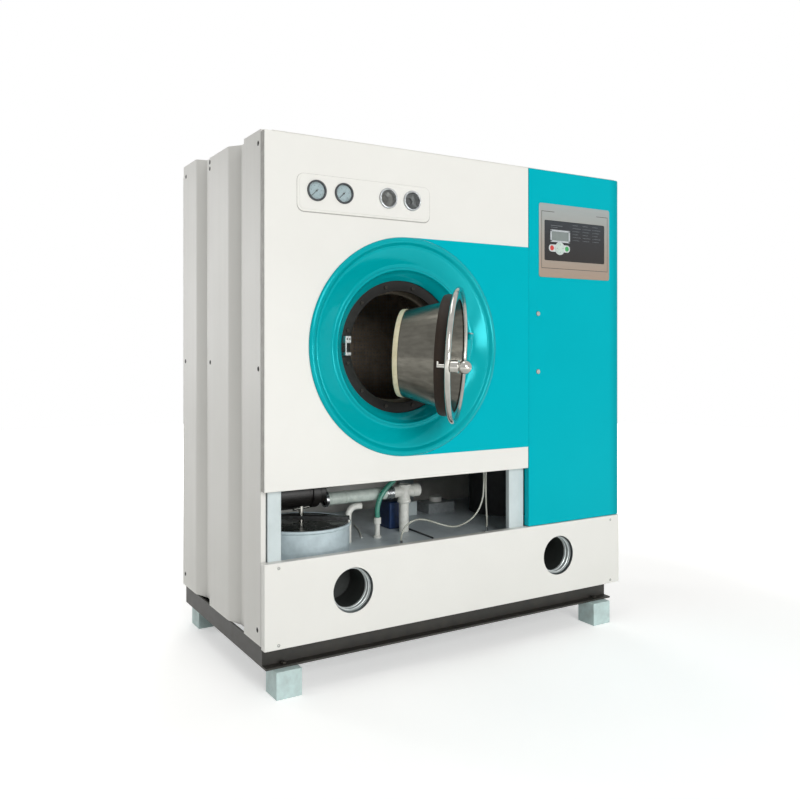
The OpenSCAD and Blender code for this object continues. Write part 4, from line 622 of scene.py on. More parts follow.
mouth_y = 56
pressing = smooth_line([(354.8, -1.6), (352, -5.14), (345, -7.8), (338, -6.375), (333, -2.15), (328, 1.6), (321, 2.2),
                        (300, 8.6), (280, 15.6), (268, 20), (261, 19.4), (256, 14.8), (252, 12.9), (248.6, 14.6),
                        (246, 19.4), (240, 27), (230, 37), (222, 46), (218.2, 50.5), (218.1, mouth_y - 0.2)], 4)
bm = bmesh.new()
turned(bm, pressing, 160, centre=(ring_x, 0, ring_z))
face_out(bm, Vector((0, -1, 0)))
obj = made("pressed_ring", bm, [teal_gloss], "cabinet", ["door_surround"], "teal_paint", 60)
wall = obj.modifiers.new("sheet_thickness", "SOLIDIFY")
wall.thickness, wall.offset = 0.0013, -1

# The flat sheet beside it, cut to the ring's curve and folded at its right edge.
bm = bmesh.new()
reach, teal_right, teal_z = 355.4, 1001, (682, 1392)
curve = [(ring_x + reach * cos(radians(a)), ring_z + reach * sin(radians(a))) for a in range(-88, 89, 2)]
flat_sheet(bm, [(ring_x + 12, teal_z[0]), (teal_right, teal_z[0]), (teal_right, teal_z[1]), (ring_x + 12, teal_z[1])]
           + curve[::-1], [], -sheet_t)
rim = [e for e in bm.edges if e.is_boundary]
extruded(bm, rim, (0, sheet_t - 0.1, 0))
outer = [e for e in rim
         if all(v.co.x > teal_right - 0.1 or min(abs(v.co.z - z) for z in teal_z) < 0.1 for v in e.verts)]
bmesh.ops.bevel(bm, geom=outer, offset=0.9, affect="EDGES", segments=3, profile=0.5, material=-1)
made("teal_sheet", bm, [teal_coat], "cabinet", ["door_surround"], "teal_paint")

# ---- Loading mouth: bolted plate, keeper, tub and basket -------------------------------------
# A black enamelled ring holds the pressing against the tub with twelve hexagon
# bolts; the cast keeper for the door's tongue is screwed on at its left.
# Enamel baked on a cut steel ring: black, with a low sheen.
mouth_enamel = finish("black_mouth_enamel", "#100f0d", "#1b1916", 25, (0.3, 0.5), 2, 0.06, Specular_IOR_Level=0.25)
bm = bmesh.new()
plate = rounded([(184.2, 59.8), (184.2, 56.2, 1), (235.8, 56.2), (235.8, 59.8)], 0)
turned(bm, plate, 144, closed=True, centre=(ring_x, 0, ring_z))
made("mouth_ring", bm, [mouth_enamel], "cabinet", ["mouth_plate"], "black_paint", 30)
edged("mouth_bolts", "fasteners", [dark_bolt], "cabinet", "zinc", 0.5, 2,
      keep=lambda x, y, z: hypot(x - ring_x, z - ring_z) < 215 and y > 40)
# Sand-cast alloy: pale grey, with a fine pitted skin.
keeper_alloy = finish("sand_cast_alloy", "#b9bbb9", "#97999a", 6, (0.34, 0.52), 1.2, 0.12, Metallic=0.7)
edged("cast_keeper", "latch_keeper", [keeper_alloy], "cabinet", "cast_alloy", 2.2, 3)
# Two thin dark discs on the keeper's face stand for its screw recesses: painted shade.
bm = bmesh.new()
for x in (289.5, 298.5):
    turned(bm, [(0, -0.06), (2.8, -0.06), (2.8, 0.2)], 20, centre=(x, 30, 1061))
made("keeper_recess_painted_shade", bm, [dark_bolt], "cabinet", ["latch_keeper"], "cast_alloy", 45)

# The tub's rolled stainless sheet is dull from the mill, and the bearing casting is painted over rough iron.
tub_steel = finish("rolled_stainless_sheet", "#8b8d8c", "#77797a", 70, (0.3, 0.46), 1.6, 0.04, Metallic=0.9)
edged("tub_shell", "tub", [tub_steel], "cabinet", "spun_steel", 0.6, 1)
edged("tub_front_wall", "tub_front", [tub_steel], "cabinet", "spun_steel", 0.6, 1)
bearing_iron = finish("painted_iron_casting", "#4d5153", "#3d4143", 14, (0.45, 0.62), 2.2, 0.25)
edged("bearing_casting", "bearing_housing", [bearing_iron], "cabinet", "cast_iron", 2.2, 3)

# The basket: stainless sheet with rows of 7 mm holes, a rolled mouth and three
# hollow lifters. Use has left it brownish and half dull.
basket_steel = finish("used_basket_steel", "#8d8172", "#6b6054", 30, (0.35, 0.55), 2, 0.05, Metallic=0.25)


def perforate(bm, faces):
    """Cuts an eight-sided hole, 7 mm across, in each of the faces."""
    bmesh.ops.inset_individual(bm, faces=faces, thickness=3.4, use_even_offset=True)
    corners = list({v for f in faces for v in f.verts})
    bmesh.ops.delete(bm, geom=faces, context="FACES_ONLY")
    bmesh.ops.bevel(bm, geom=corners, offset=1.9, affect="VERTICES", segments=1, profile=0.5, material=-1)


bm = bmesh.new()
turned(bm, [(324.2, 100.8 + 14 * k) for k in range(28)] + [(324.2, 485.5)], 145)
perforate(bm, [f for f in bm.faces if f.calc_area() > 150 and 112 < f.calc_center_median().y < 476])
bmesh.ops.translate(bm, vec=(ring_x, 0, ring_z), verts=bm.verts)
made("basket_wall", bm, [basket_steel], "drum_group", ["drum"], "spun_steel", 30)

bm = bmesh.new()
sheet = bmesh.ops.create_grid(bm, x_segments=46, y_segments=46, size=322)["verts"]
bmesh.ops.rotate(bm, cent=(0, 0, 0), matrix=Matrix.Rotation(pi / 2, 3, "X"), verts=sheet)
bmesh.ops.delete(bm, geom=[f for f in bm.faces if hypot(f.calc_center_median().x, f.calc_center_median().z) > 306],
                 context="FACES")
perforate(bm, [f for f in bm.faces if hypot(f.calc_center_median().x, f.calc_center_median().z) > 62])
edge = [e for e in bm.edges if e.is_boundary and max(hypot(v.co.x, v.co.z) for v in e.verts) > 296]
outer = bmesh.ops.create_circle(bm, radius=324.6, segments=128, matrix=Matrix.Rotation(pi / 2, 4, "X"))["verts"]
edge += list({e for v in outer for e in v.link_edges})
bmesh.ops.triangle_fill(bm, edges=edge, use_beauty=True, normal=(0, -1, 0))
bmesh.ops.translate(bm, vec=(ring_x, 486.2, ring_z), verts=bm.verts)
made("basket_back", bm, [basket_steel], "drum_group", ["drum_back"], "spun_steel", 30)
edged("basket_shaft", "drum_back", [tub_steel], "drum_group", "spun_steel", 0.8, 2,
      keep=lambda x, y, z: hypot(x - ring_x, z - ring_z) < 100)

bm = bmesh.new()
mouth = rounded([(324.6, 99.9), (324.6, 97.2, 1.5), (190, 97.2), (178.6, 98.2, 4), (176.2, 102, 2), (176.2, 107),
                 (177.4, 108.9), (178.9, 107.4), (179, 101.4, 2), (190, 99.9)], 0.8)
turned(bm, mouth, 144, closed=True, centre=(ring_x, 0, ring_z))
made("basket_mouth", bm, [basket_steel], "drum_group", ["drum_front"], "spun_steel", 30)
edged("basket_lifters", "drum_lifters", [basket_steel], "drum_group", "spun_steel", 8, 4)

# ---- Drive behind the tub ----------------------------------------------------------------
# A cast pulley on the drum's shaft, a flat belt and a small motor with its own pulley.
# Moulded belt rubber is matt and black; hammer paint makes the motor dimpled and half glossy.
belt_rubber = finish("ribbed_belt_rubber", "#1d1c1b", "#2a2826", 8, (0.6, 0.75), 1, 0.08)
motor_paint = finish("motor_hammer_paint", "#4b5a62", "#3c4a52", 12, (0.35, 0.5), 1.6, 0.16)
edged("large_pulley", "drum_pulley", [bearing_iron], "drum_group", "cast_iron", 1.5, 2)
edged("flat_belt", "drive_belt", [belt_rubber], "cabinet", "rubber_black", 0.5, 1)
edged("drive_motor", "drum_motor", [motor_paint], "cabinet", "motor_paint", 3, 3)
edged("small_pulley", "motor_pulley", [bearing_iron], "motor_pulley", "cast_iron", 1.2, 2)

# ---- Loading door --------------------------------------------------------------------------
# A spun stainless dish with a window at its end, held in a chromed rim. It is shaped
# here as it sits when shut and then swung 48 degrees open about its leaning hinge line.
hinge_point = Vector((740, 3, 1037))
hinge_line = Vector((tan(radians(6.4)), -tan(radians(6.3)), 1)).normalized()


def swing_open(bm):
    bmesh.ops.translate(bm, vec=(ring_x, 0, ring_z), verts=bm.verts)
    bmesh.ops.rotate(bm, cent=hinge_point, matrix=Matrix.Rotation(radians(48), 3, hinge_line), verts=bm.verts)


# Chrome plate on the bent rim: bright, with a faint haze where hands and vapour have dulled it.
door_chrome = coated("polished_chrome_rim", "#bdbcb6", "#94928b", (33.3, 5, 0.65), (0.05, 0.2), [(None, 0.2, 0.08)],
                     Metallic=1)

# Spun stainless steel: turning lines about 0.3 mm apart round the door's axis, on the sheet's own
# map, and slow streaks across them, so that its highlights are drawn out along the cone.
spun_steel, tree, shader, spot = new_material("spun_stainless_dish", Metallic=1, Anisotropic=0.55)
lay = add(tree, "UVMap", {"uv_map": "spun"})
scale = add(tree, "Mapping", {"Scale": (2.2, 60, 1)}, {"Vector": lay.outputs["UV"]})
lines = add(tree, "TexNoise", {"Scale": 6, "Detail": 6, "Roughness": 0.6}, {"Vector": scale.outputs[0]})
streaks = add(tree, "Mapping", {"Scale": (26, 1.2, 1)}, {"Vector": lay.outputs["UV"]})
long_lines = add(tree, "TexNoise", {"Scale": 3, "Detail": 3}, {"Vector": streaks.outputs[0]})
tone = add(tree, "Mix", {"data_type": "RGBA", 6: linear("#74726a"), 7: linear("#46443e")},
           {0: long_lines.outputs["Fac"]})
tree.links.new(tone.outputs[2], shader.inputs["Base Color"])
gloss = add(tree, "MapRange", {"To Min": 0.12, "To Max": 0.34}, {"Value": lines.outputs["Fac"]})
tree.links.new(gloss.outputs[0], shader.inputs["Roughness"])
turning = add(tree, "Bump", {"Strength": 0.35, "Distance": 0.00005}, {"Height": lines.outputs["Fac"]})
tree.links.new(turning.outputs[0], shader.inputs["Normal"])


def spun_map(bm):
    """A map with the angle round the axis across it and the depth up it."""
    layer = bm.loops.layers.uv.new("spun")
    for face in bm.faces:
        mid = face.calc_center_median()
        base = atan2(mid.z, mid.x)
        for loop in face.loops:
            p = loop.vert.co
            turn = atan2(p.z, p.x)
            turn += 2 * pi * round((base - turn) / (2 * pi))
            loop[layer].uv = (turn / (2 * pi), p.y / 100 + hypot(p.x, p.z) / 100)


bead = [(206 + 9.2 * cos(radians(a)), 12 + 9.2 * sin(radians(a))) for a in range(-155, 156, 10)]
rim = rounded([(178.3, 14.8), (178.3, 9.3, 0.8), (190, 9.2), (197.5, 9.4)], 2) + bead + [(197.5, 14.7), (190, 14.8)]
bm = bmesh.new()
turned(bm, rim, 160, closed=True)
swing_open(bm)
made("chromed_rim", bm, [door_chrome], "door", ["door_rim"], "chrome", 40)

dish = rounded([(177.8, 14.8), (177.8, 9.3, 0.5), (175.2, 9.4, 1), (176, 14.2, 3), (133.6, 182.6, 7), (117.4, 183.2),
                (117.4, 184.8), (134.6, 184.8, 8), (177.2, 15.6, 1)], 0.4)
bm = bmesh.new()
turned(bm, dish, 160, closed=True)
spun_map(bm)
swing_open(bm)
made("spun_dish", bm, [spun_steel], "door", ["door_cone"], "spun_steel", 40)

# Moulded rubber, matt, turned brownish by solvent.
seal_rubber = finish("black_seal_rubber", "#221912", "#2b2118", 14, (0.45, 0.65), 1.6, 0.06, Specular_IOR_Level=0.2)
bm = bmesh.new()
turned(bm, rounded([(178.8, 15.3), (190.8, 15.3, 0.6), (190.8, 46, 6), (187.6, 55.2), (185.2, 55.2),
                    (179.4, 43.5, 5)], 1.2), 160, closed=True)
swing_open(bm)
made("lip_seal", bm, [seal_rubber], "door", ["door_seal"], "rubber_black", 50)

# Extruded silicone: cream, waxy and soft to the eye, because a little light sinks in.
gasket_rubber = finish("cream_silicone_gasket", "#dcd3b4", "#cabf9c", 16, (0.45, 0.6), 1.6, 0.08,
                       Subsurface_Weight=0.05)
bm = bmesh.new()
turned(bm, rounded([(117.4, 185.4), (134.8, 185.4), (138, 173.6), (140, 174, 1), (137.4, 189.8, 3), (121, 190.8, 2),
                    (120.3, 189), (120.3, 186.6), (117.4, 186.6)], 0.5), 128, closed=True)
swing_open(bm)
made("window_ring", bm, [gasket_rubber], "door", ["window_gasket"], "gasket_cream", 45)

# Toughened float glass: clear, faintly green, with a film of vapour in patches.
door_glass, tree, shader, spot = new_material("toughened_door_glass", Transmission_Weight=1, IOR=1.52)
smear = add(tree, "TexNoise", {"Scale": 1000 / 45.5, "Detail": 4}, {"Vector": spot})
dull = add(tree, "MapRange", {"From Min": 0.45, "To Min": 0.0, "To Max": 0.12}, {"Value": smear.outputs["Fac"]})
tree.links.new(dull.outputs[0], shader.inputs["Roughness"])
tint = add(tree, "Mix", {"data_type": "RGBA", 6: linear("#dfeee9"), 7: linear("#d3e4de")}, {0: smear.outputs["Fac"]})
tree.links.new(tint.outputs[2], shader.inputs["Base Color"])
bm = bmesh.new()
turned(bm, [(0, 186.8), (119, 186.8), (119.5, 187.2), (119.5, 189.9), (119, 190.3), (0, 190.3)], 96)
swing_open(bm)
made("round_window", bm, [door_glass], "door", ["window_glass"], "clear_glass", 40)

# Hinge: a folded arm on the rim and two lugs on the pressing, enamelled with it, and a leaning
# pin ground from steel bar, half bright.
brushed_steel = finish("brushed_hinge_steel", "#a6a9aa", "#7f8283", 8, (0.24, 0.42), 0.9, 0.05, Metallic=0.95)
edged("folded_arm", "door_arm", [teal_gloss], "door", "brushed", 1.6, 2)
edged("two_eared_bracket", "hinge_bracket", [teal_gloss], "cabinet", "brushed", 1.6, 2)
edged("hinge_pivot", "hinge_pin", [brushed_steel], "cabinet", "chrome", 1, 2)

# Latch: a chromed ball knob on a grooved neck; its spindle turns a small steel
# tongue behind the rim, which hooks behind the keeper.
bm = bmesh.new()
ball = [(20.3 * sin(radians(a)), -37.8 - 20.3 * cos(radians(a))) for a in range(0, 127, 7)]
grooves = rounded([(15.2, -25.4), (13.6, -22.5, 1.5), (17, -20.8, 1.2), (18.8, -19.2, 1.5), (18.8, 3.2, 2),
                   (16.5, 4.5)], 1)
knob = ball + grooves + rounded([(5.9, 4.6), (5.9, 43.6, 0.8), (0, 43.6)], 0.3)
turned(bm, knob, 64)
tongue = bmesh.ops.create_cube(bm, size=1)["verts"]
bmesh.ops.scale(bm, vec=(9.6, 5.6, 18.6), verts=tongue)
bmesh.ops.translate(bm, vec=(0, 41, 4.5), verts=tongue)
bmesh.ops.bevel(bm, geom=list({e for v in tongue for e in v.link_edges}), offset=1.2, affect="EDGES", segments=3,
                profile=0.5, material=-1)
bmesh.ops.translate(bm, vec=(-199, 0, -6), verts=bm.verts)
swing_open(bm)
made("ball_knob_and_tongue", bm, [door_chrome], "latch", ["door_latch"], "chrome", 40)

# ---- Cabinet door -------------------------------------------------------------------------
# A tall folded door in teal with its right edge rolled to a large radius. It has two
# hinges on that side, two small locks at its left, and carries the control plate.
door_x0, door_z0 = 1003, 397
hinge_z = (522, 1590)
lock_x, lock_z = 1046, (949, 1157)
plate_x, plate_z = (1049, 1396), (1290, 1557)
glass_x, glass_z = (1073, 1370), (1351, 1497)

# The same powder coat. The rolled edge turns from the light, and the colour is painted a darker teal there: painted
# shade.
door_teal_with_painted_shade = coated("teal_powder_coat_door_painted_edge_shade", "#00b4c2", "#00abb8", (455, 5, 0.6), (0.26, 0.4),
                   [((4.17, 2), 0.25, 0.06), (None, 0.35, 1.5)], Specular_IOR_Level=0.12,
                   Specular_Tint=(0.12, 0.8, 0.88, 1))
tree = door_teal_with_painted_shade.node_tree
shader = tree.nodes["Principled BSDF"]
across = add(tree, "SeparateXYZ", links={"Vector": add(tree, "TexCoord").outputs["Object"]})
# Painted shade: the teal darkens towards #008f97 over the last 48 mm before the rolled right edge.
roll = add(tree, "MapRange", {"From Min": 0.674, "From Max": 0.722, "To Max": 0.8}, {"Value": across.outputs["X"]})
tone = add(tree, "Mix", {"data_type": "RGBA", 7: linear("#008f97")},
           {0: roll.outputs[0], 6: shader.inputs["Base Color"].links[0].from_socket})
tree.links.new(tone.outputs[2], shader.inputs["Base Color"])

door_sheet = folded_panel("cabinet_door_sheet", door_x0, cabinet_w, door_z0, cabinet_top,
                          [(lock_x, z, 9, 32) for z in lock_z], 24, [door_teal_with_painted_shade], "cabinet_door", ["cabinet_door"],
                          "teal_paint", roll=13, cuts=[[(1075, 1353), (1368, 1353), (1368, 1495), (1075, 1495)]])
# The rolled edge is notched at each hinge, so that the door swings clear of the fixed leaves.
notch_half, notch_y = 32, 2.6
bm = bmesh.new()
bm.from_mesh(door_sheet.data)
for z in hinge_z:
    for cut, normal in (((0, 0, z - notch_half), (0, 0, 1)), ((0, 0, z + notch_half), (0, 0, 1)),
                        ((0, notch_y, z), (0, 1, 0))):
        fold = [f for f in bm.faces if f.calc_center_median().x > 0.7125]
        bmesh.ops.bisect_plane(bm, geom=fold + list({e for f in fold for e in f.edges}), plane_co=seat(*cut),
                               plane_no=normal)
    bmesh.ops.delete(bm, context="FACES", geom=[f for f in bm.faces if f.calc_center_median().x > 0.713
                                                and f.calc_center_median().y > seat(0, notch_y, 0).y
                                                and abs(f.calc_center_median().z * 1000 - z) < notch_half])
bm.to_mesh(door_sheet.data)
bm.free()
edged("door_knuckles", "cabinet_door", [dark_bolt], "cabinet_door", "teal_paint", 0.8, 2,
      keep=lambda x, y, z: x > 1425 and 1.6 < y < 23 and (485 < z < 555 or 1555 < z < 1625))
edged("hinge_leaves", "cabinet_hinges", [dark_bolt], "cabinet", "dark_steel", 0.8, 2)
edged("upper_quarter_turn", "lock_upper", [screw_zinc], "lock_upper", "chrome", 0.5, 2)
edged("lower_quarter_turn", "lock_lower", [screw_zinc], "lock_lower", "chrome", 0.5, 2)

# ---- Control plate ----------------------------------------------------------------------
# An aluminium plate with a printed finish that runs from silver grey at the top to
# warm beige below, with a thin dark border line, glued on the cabinet door.
# The print lies on brushed metal, so it is half metallic and shows fine level hairs.
plate_print, tree, shader, spot = new_material("printed_aluminium_plate", Metallic=0.35, Coat_Weight=0.2,
                                               Coat_Roughness=0.2)
parts = add(tree, "SeparateXYZ", links={"Vector": spot})
height = add(tree, "MapRange", {"From Min": plate_z[0] / 1000, "From Max": plate_z[1] / 1000},
             {"Value": parts.outputs["Z"]})
fade = add(tree, "ValToRGB", links={"Fac": height.outputs[0]})
fade.color_ramp.elements[0].position, fade.color_ramp.elements[0].color = 0.0, linear("#a08c7b")
fade.color_ramp.elements[1].position, fade.color_ramp.elements[1].color = 1.0, linear("#9ea6a5")
middle = fade.color_ramp.elements.new(0.45)
middle.color = linear("#9c958b")
# Hairs 80 mm long and 0.6 mm high.
brushing = add(tree, "Mapping", {"Scale": (3, 3, 420)}, {"Vector": spot})
hairs = add(tree, "TexNoise", {"Scale": 4, "Detail": 5}, {"Vector": brushing.outputs[0]})
grain = add(tree, "MapRange", {"To Min": 0.86, "To Max": 1.1}, {"Value": hairs.outputs["Fac"]})
tone = add(tree, "VectorMath", {"operation": "SCALE"}, {0: fade.outputs["Color"], "Scale": grain.outputs[0]})
tree.links.new(tone.outputs[0], shader.inputs["Base Color"])
gloss = add(tree, "MapRange", {"To Min": 0.3, "To Max": 0.46}, {"Value": hairs.outputs["Fac"]})
tree.links.new(gloss.outputs[0], shader.inputs["Roughness"])
fine = add(tree, "Bump", {"Strength": 0.2, "Distance": 0.00004}, {"Height": hairs.outputs["Fac"]})
tree.links.new(fine.outputs[0], shader.inputs["Normal"])
raised_plate("printed_plate", rounded_outline(*plate_x, *plate_z, 9), [], 2.98, 1.6, [plate_print], "cabinet_door",
             ["control_plate"], "plate_enamel", cuts=[rounded_outline(1073.1, 1369.9, 1351.1, 1496.9, 5)])

border_ink = finish("border_line_ink", "#3b3733", "#4a4540", 8, (0.4, 0.55), 1, 0.01)
bm = bmesh.new()


def bar(bm, x0, x1, z0, z1, y, thickness, corner=0.0):
    """A thin printed or moulded bar that lies on a face at depth y."""
    box = bmesh.ops.create_cube(bm, size=1)["verts"]
    bmesh.ops.scale(bm, vec=(x1 - x0, thickness, z1 - z0), verts=box)
    bmesh.ops.translate(bm, vec=((x0 + x1) / 2, y - thickness / 2, (z0 + z1) / 2), verts=box)
    if corner:
        upright = [e for e in {e for v in box for e in v.link_edges}
                   if abs(e.verts[0].co.y - e.verts[1].co.y) > thickness / 2]
        bmesh.ops.bevel(bm, geom=upright, offset=corner, affect="EDGES", segments=5, profile=0.5, material=-1)


inset = 10
line_low, line_high, line_w = 1322, 1529, 2
for x0, x1, z0, z1 in ((plate_x[0] + inset, 1120, line_high - line_w, line_high),
                       (1328, plate_x[1] - inset, line_high - line_w, line_high),
                       (plate_x[0] + inset, plate_x[0] + inset + line_w, line_low, line_high),
                       (plate_x[1] - inset - line_w, plate_x[1] - inset, line_low, line_high),
                       (plate_x[0] + inset, plate_x[1] - inset, line_low, line_low + line_w)):
    bar(bm, x0, x1, z0, z1, -2.9, 0.09)
made("border_lines", bm, [border_ink], "cabinet_door", ["control_plate"], "plate_enamel")

# The dark window: smoked acrylic, cast, polished and glued in a cut-out of the plate, so it mirrors
# sharply. Its colour runs from a bluer grey at the top to warm near-black below: a painted reflection. Plain grey
# dashes stand in rows beside the display.
smoked, tree, shader, spot = new_material("smoked_acrylic_painted_reflection", Coat_Weight=0.35, Coat_Roughness=0.04,
                                          Specular_IOR_Level=0.3)
parts = add(tree, "SeparateXYZ", links={"Vector": spot})
height = add(tree, "MapRange", {"From Min": glass_z[0] / 1000, "From Max": glass_z[1] / 1000},
             {"Value": parts.outputs["Z"]})
# Painted reflection: lighter and bluer towards the top, darker towards the bottom.
fade = add(tree, "ValToRGB", links={"Fac": height.outputs[0]})
fade.color_ramp.elements[0].position, fade.color_ramp.elements[0].color = 0.1, linear("#17120f")
fade.color_ramp.elements[1].position, fade.color_ramp.elements[1].color = 0.95, linear("#23292f")
middle = fade.color_ramp.elements.new(0.55)
middle.color = linear("#1c1d20")
tree.links.new(fade.outputs["Color"], shader.inputs["Base Color"])
dust = add(tree, "TexNoise", {"Scale": 1000 / 11.1, "Detail": 4}, {"Vector": spot})
gloss = add(tree, "MapRange", {"To Min": 0.06, "To Max": 0.16}, {"Value": dust.outputs["Fac"]})
tree.links.new(gloss.outputs[0], shader.inputs["Roughness"])
cut_out = rounded_outline(glass_x[0] + 0.4, glass_x[1] - 0.4, glass_z[0] + 0.4, glass_z[1] - 0.4, 5)
raised_plate("smoked_window", cut_out, [], 2.36, 0.8, [smoked], "cabinet_door", ["control_glass"], "dark_panel")

# The display: a frame painted silver round grey liquid crystal, with dots 1.2 mm wide.
screen_frame = finish("silver_screen_frame", "#c3c8ca", "#a9afb2", 8, (0.25, 0.4), 1.5, 0.02, Metallic=0.4)
screen_glass, tree, shader, spot = new_material("grey_liquid_crystal", Roughness=0.18, Coat_Weight=0.5)
dots = add(tree, "TexBrick", {"Scale": 1000 / 2.38, "Mortar Size": 0.05, "Color1": linear("#78827f"),
                              "Color2": linear("#6f7976"), "Mortar": linear("#838d8a"), "Brick Width": 0.5,
                              "Row Height": 0.5}, {"Vector": spot})
tree.links.new(dots.outputs["Color"], shader.inputs["Base Color"])
bm = bmesh.new()
bar(bm, 1101.2, 1195.8, 1419.2, 1425, -2.42, 1.1, 2)
bar(bm, 1101.2, 1195.8, 1458, 1463.8, -2.42, 1.1, 2)
bar(bm, 1101.2, 1107.5, 1421, 1462, -2.42, 1.1, 0)
bar(bm, 1189.5, 1195.8, 1421, 1462, -2.42, 1.1, 0)
made("screen_surround", bm, [screen_frame], "cabinet_door", ["screen"], "screen_plastic")
bm = bmesh.new()
bar(bm, 1107.6, 1189.4, 1425.1, 1457.9, -2.42, 0.5, 1)
made("screen_display", bm, [screen_glass], "cabinet_door", ["screen"], "screen_plastic")

mark_ink = finish("pale_grey_mark_ink", "#6f7478", "#5d6266", 6, (0.4, 0.5), 1, 0.01)
bm = bmesh.new()
for column, x in enumerate((1212, 1262, 1312)):
    for row in range(6):
        z = 1486 - row * 11
        turned(bm, [(0, -2.44), (1.5, -2.44), (1.5, -2.3)], 16, centre=(x, 0, z))
        bar(bm, x + 5, x + 24 + 7 * ((row * 5 + column * 3) % 3), z - 0.6, z + 0.6, -2.34, 0.1)
bar(bm, 1104, 1160, 1478.4, 1480, -2.34, 0.1)
bar(bm, 1104, 1136, 1472, 1473.2, -2.34, 0.1)
made("window_marks", bm, [mark_ink], "cabinet_door", ["control_glass"], "dark_panel")

# Keys: a pale pill-shaped base with a red key, a four-way pad and a green key, all moulded
# in silicone or plastic, so they are soft in colour and half matt.
key_z, key_x = 1397, (1109, 1147, 1181)
pad_grey = finish("pale_key_base", "#cfd5d4", "#b9c1c0", 10, (0.3, 0.42), 1.5, 0.02)
bm = bmesh.new()
bar(bm, key_x[0] - 15, key_x[2] + 15, key_z - 13, key_z + 13, -2.38, 0.4, 12.5)
turned(bm, [(23.6, -2.3), (23.6, -2.9), (23, -3.0), (20.6, -3.0), (20.4, -2.3)], 64, centre=(key_x[1], 0, key_z))
made("key_base", bm, [pad_grey], "cabinet_door", ["control_glass"], "dark_panel")
red_key = finish("red_silicone_key", "#d2433f", "#b93430", 8, (0.28, 0.4), 1, 0.02)
green_key = finish("green_silicone_key", "#3aa35a", "#2c8d49", 8, (0.28, 0.4), 1, 0.02)
pad_plastic = finish("pale_green_pad", "#c8d6ce", "#b4c4bb", 12, (0.3, 0.42), 1, 0.02)
for label, x, mat, slot in (("stop", key_x[0], red_key, "red_key"), ("start", key_x[2], green_key, "green_key")):
    bm = bmesh.new()
    turned(bm, [(0, -4.35), (6.5, -4.3), (8.4, -4.0), (9.2, -3.2), (9.3, -2.5), (9.3, 1.4), (0, 1.4)], 48,
           centre=(x, 0, key_z))
    made(label + "_button", bm, [mat], label + "_key", [label + "_key"], slot, 45)
bm = bmesh.new()
turned(bm, [(0, -4.0), (6, -4.0), (8, -4.38), (19.2, -4.38), (20.2, -4.22), (20.2, 1.4), (0, 1.4)], 72,
       centre=(key_x[1], 0, key_z))
made("four_way_pad", bm, [pad_plastic], "direction_pad", ["direction_pad"], "pad_plastic", 40)
bm = bmesh.new()
for k in range(4):
    arrow = bmesh.ops.create_circle(bm, cap_ends=True, radius=2.6, segments=3)["verts"]
    bmesh.ops.rotate(bm, cent=(0, 0, 0), matrix=Matrix.Rotation(pi / 2, 3, "X"), verts=arrow)
    bmesh.ops.translate(bm, vec=(0, -4.4, 13.5), verts=arrow)
    bmesh.ops.rotate(bm, cent=(0, 0, 0), matrix=Matrix.Rotation(pi / 2 * k, 3, "Y"), verts=arrow)
bmesh.ops.translate(bm, vec=(key_x[1], 0, key_z), verts=bm.verts)
bmesh.ops.recalc_face_normals(bm, faces=bm.faces)
made("pad_arrows", bm, [mark_ink], "direction_pad", ["direction_pad"], "pad_plastic")

# ---- Side panels ---------------------------------------------------------------------------
# Each side is one white sheet 1.55 m high, folded into three flats with two
# recessed ribs between them, and held by black screws on pressed cup washers.
# White powder coat, less glossy than the front's, with faint long runs of dust down it.
side_coat, tree, shader, spot = new_material("white_side_powder_coat", Specular_IOR_Level=0.14)
haze = add(tree, "TexNoise", {"Scale": 1000 / 500, "Detail": 5, "Roughness": 0.6}, {"Vector": spot})
# Runs 33 mm wide and 830 mm long.
stretch = add(tree, "Mapping", {"Scale": (1000 / 33.3, 1000 / 33.3, 1000 / 833)}, {"Vector": spot})
runs = add(tree, "TexNoise", {"Scale": 1, "Detail": 3}, {"Vector": stretch.outputs[0]})
both = add(tree, "Math", {"operation": "MULTIPLY"}, {0: haze.outputs["Fac"], 1: runs.outputs["Fac"]})
tone = add(tree, "Mix", {"data_type": "RGBA", 6: linear("#e9e8e3"), 7: linear("#d9d8d2")}, {0: both.outputs[0]})
tree.links.new(tone.outputs[2], shader.inputs["Base Color"])
gloss = add(tree, "MapRange", {"To Min": 0.34, "To Max": 0.5}, {"Value": haze.outputs["Fac"]})
tree.links.new(gloss.outputs[0], shader.inputs["Roughness"])
peel = add(tree, "TexNoise", {"Scale": 1000 / 3.85, "Detail": 2}, {"Vector": spot})
fine = add(tree, "Bump", {"Strength": 0.25, "Distance": 0.00006}, {"Height": peel.outputs["Fac"]})
tree.links.new(fine.outputs[0], shader.inputs["Normal"])

rib = 22
side_line = [(16, 30), (0, 30), (0, 171), (rib, 173), (rib, 248), (0, 312, 9), (0, 503), (rib, 505), (rib, 592),
             (0, 652, 9), (0, 806), (16, 806)]
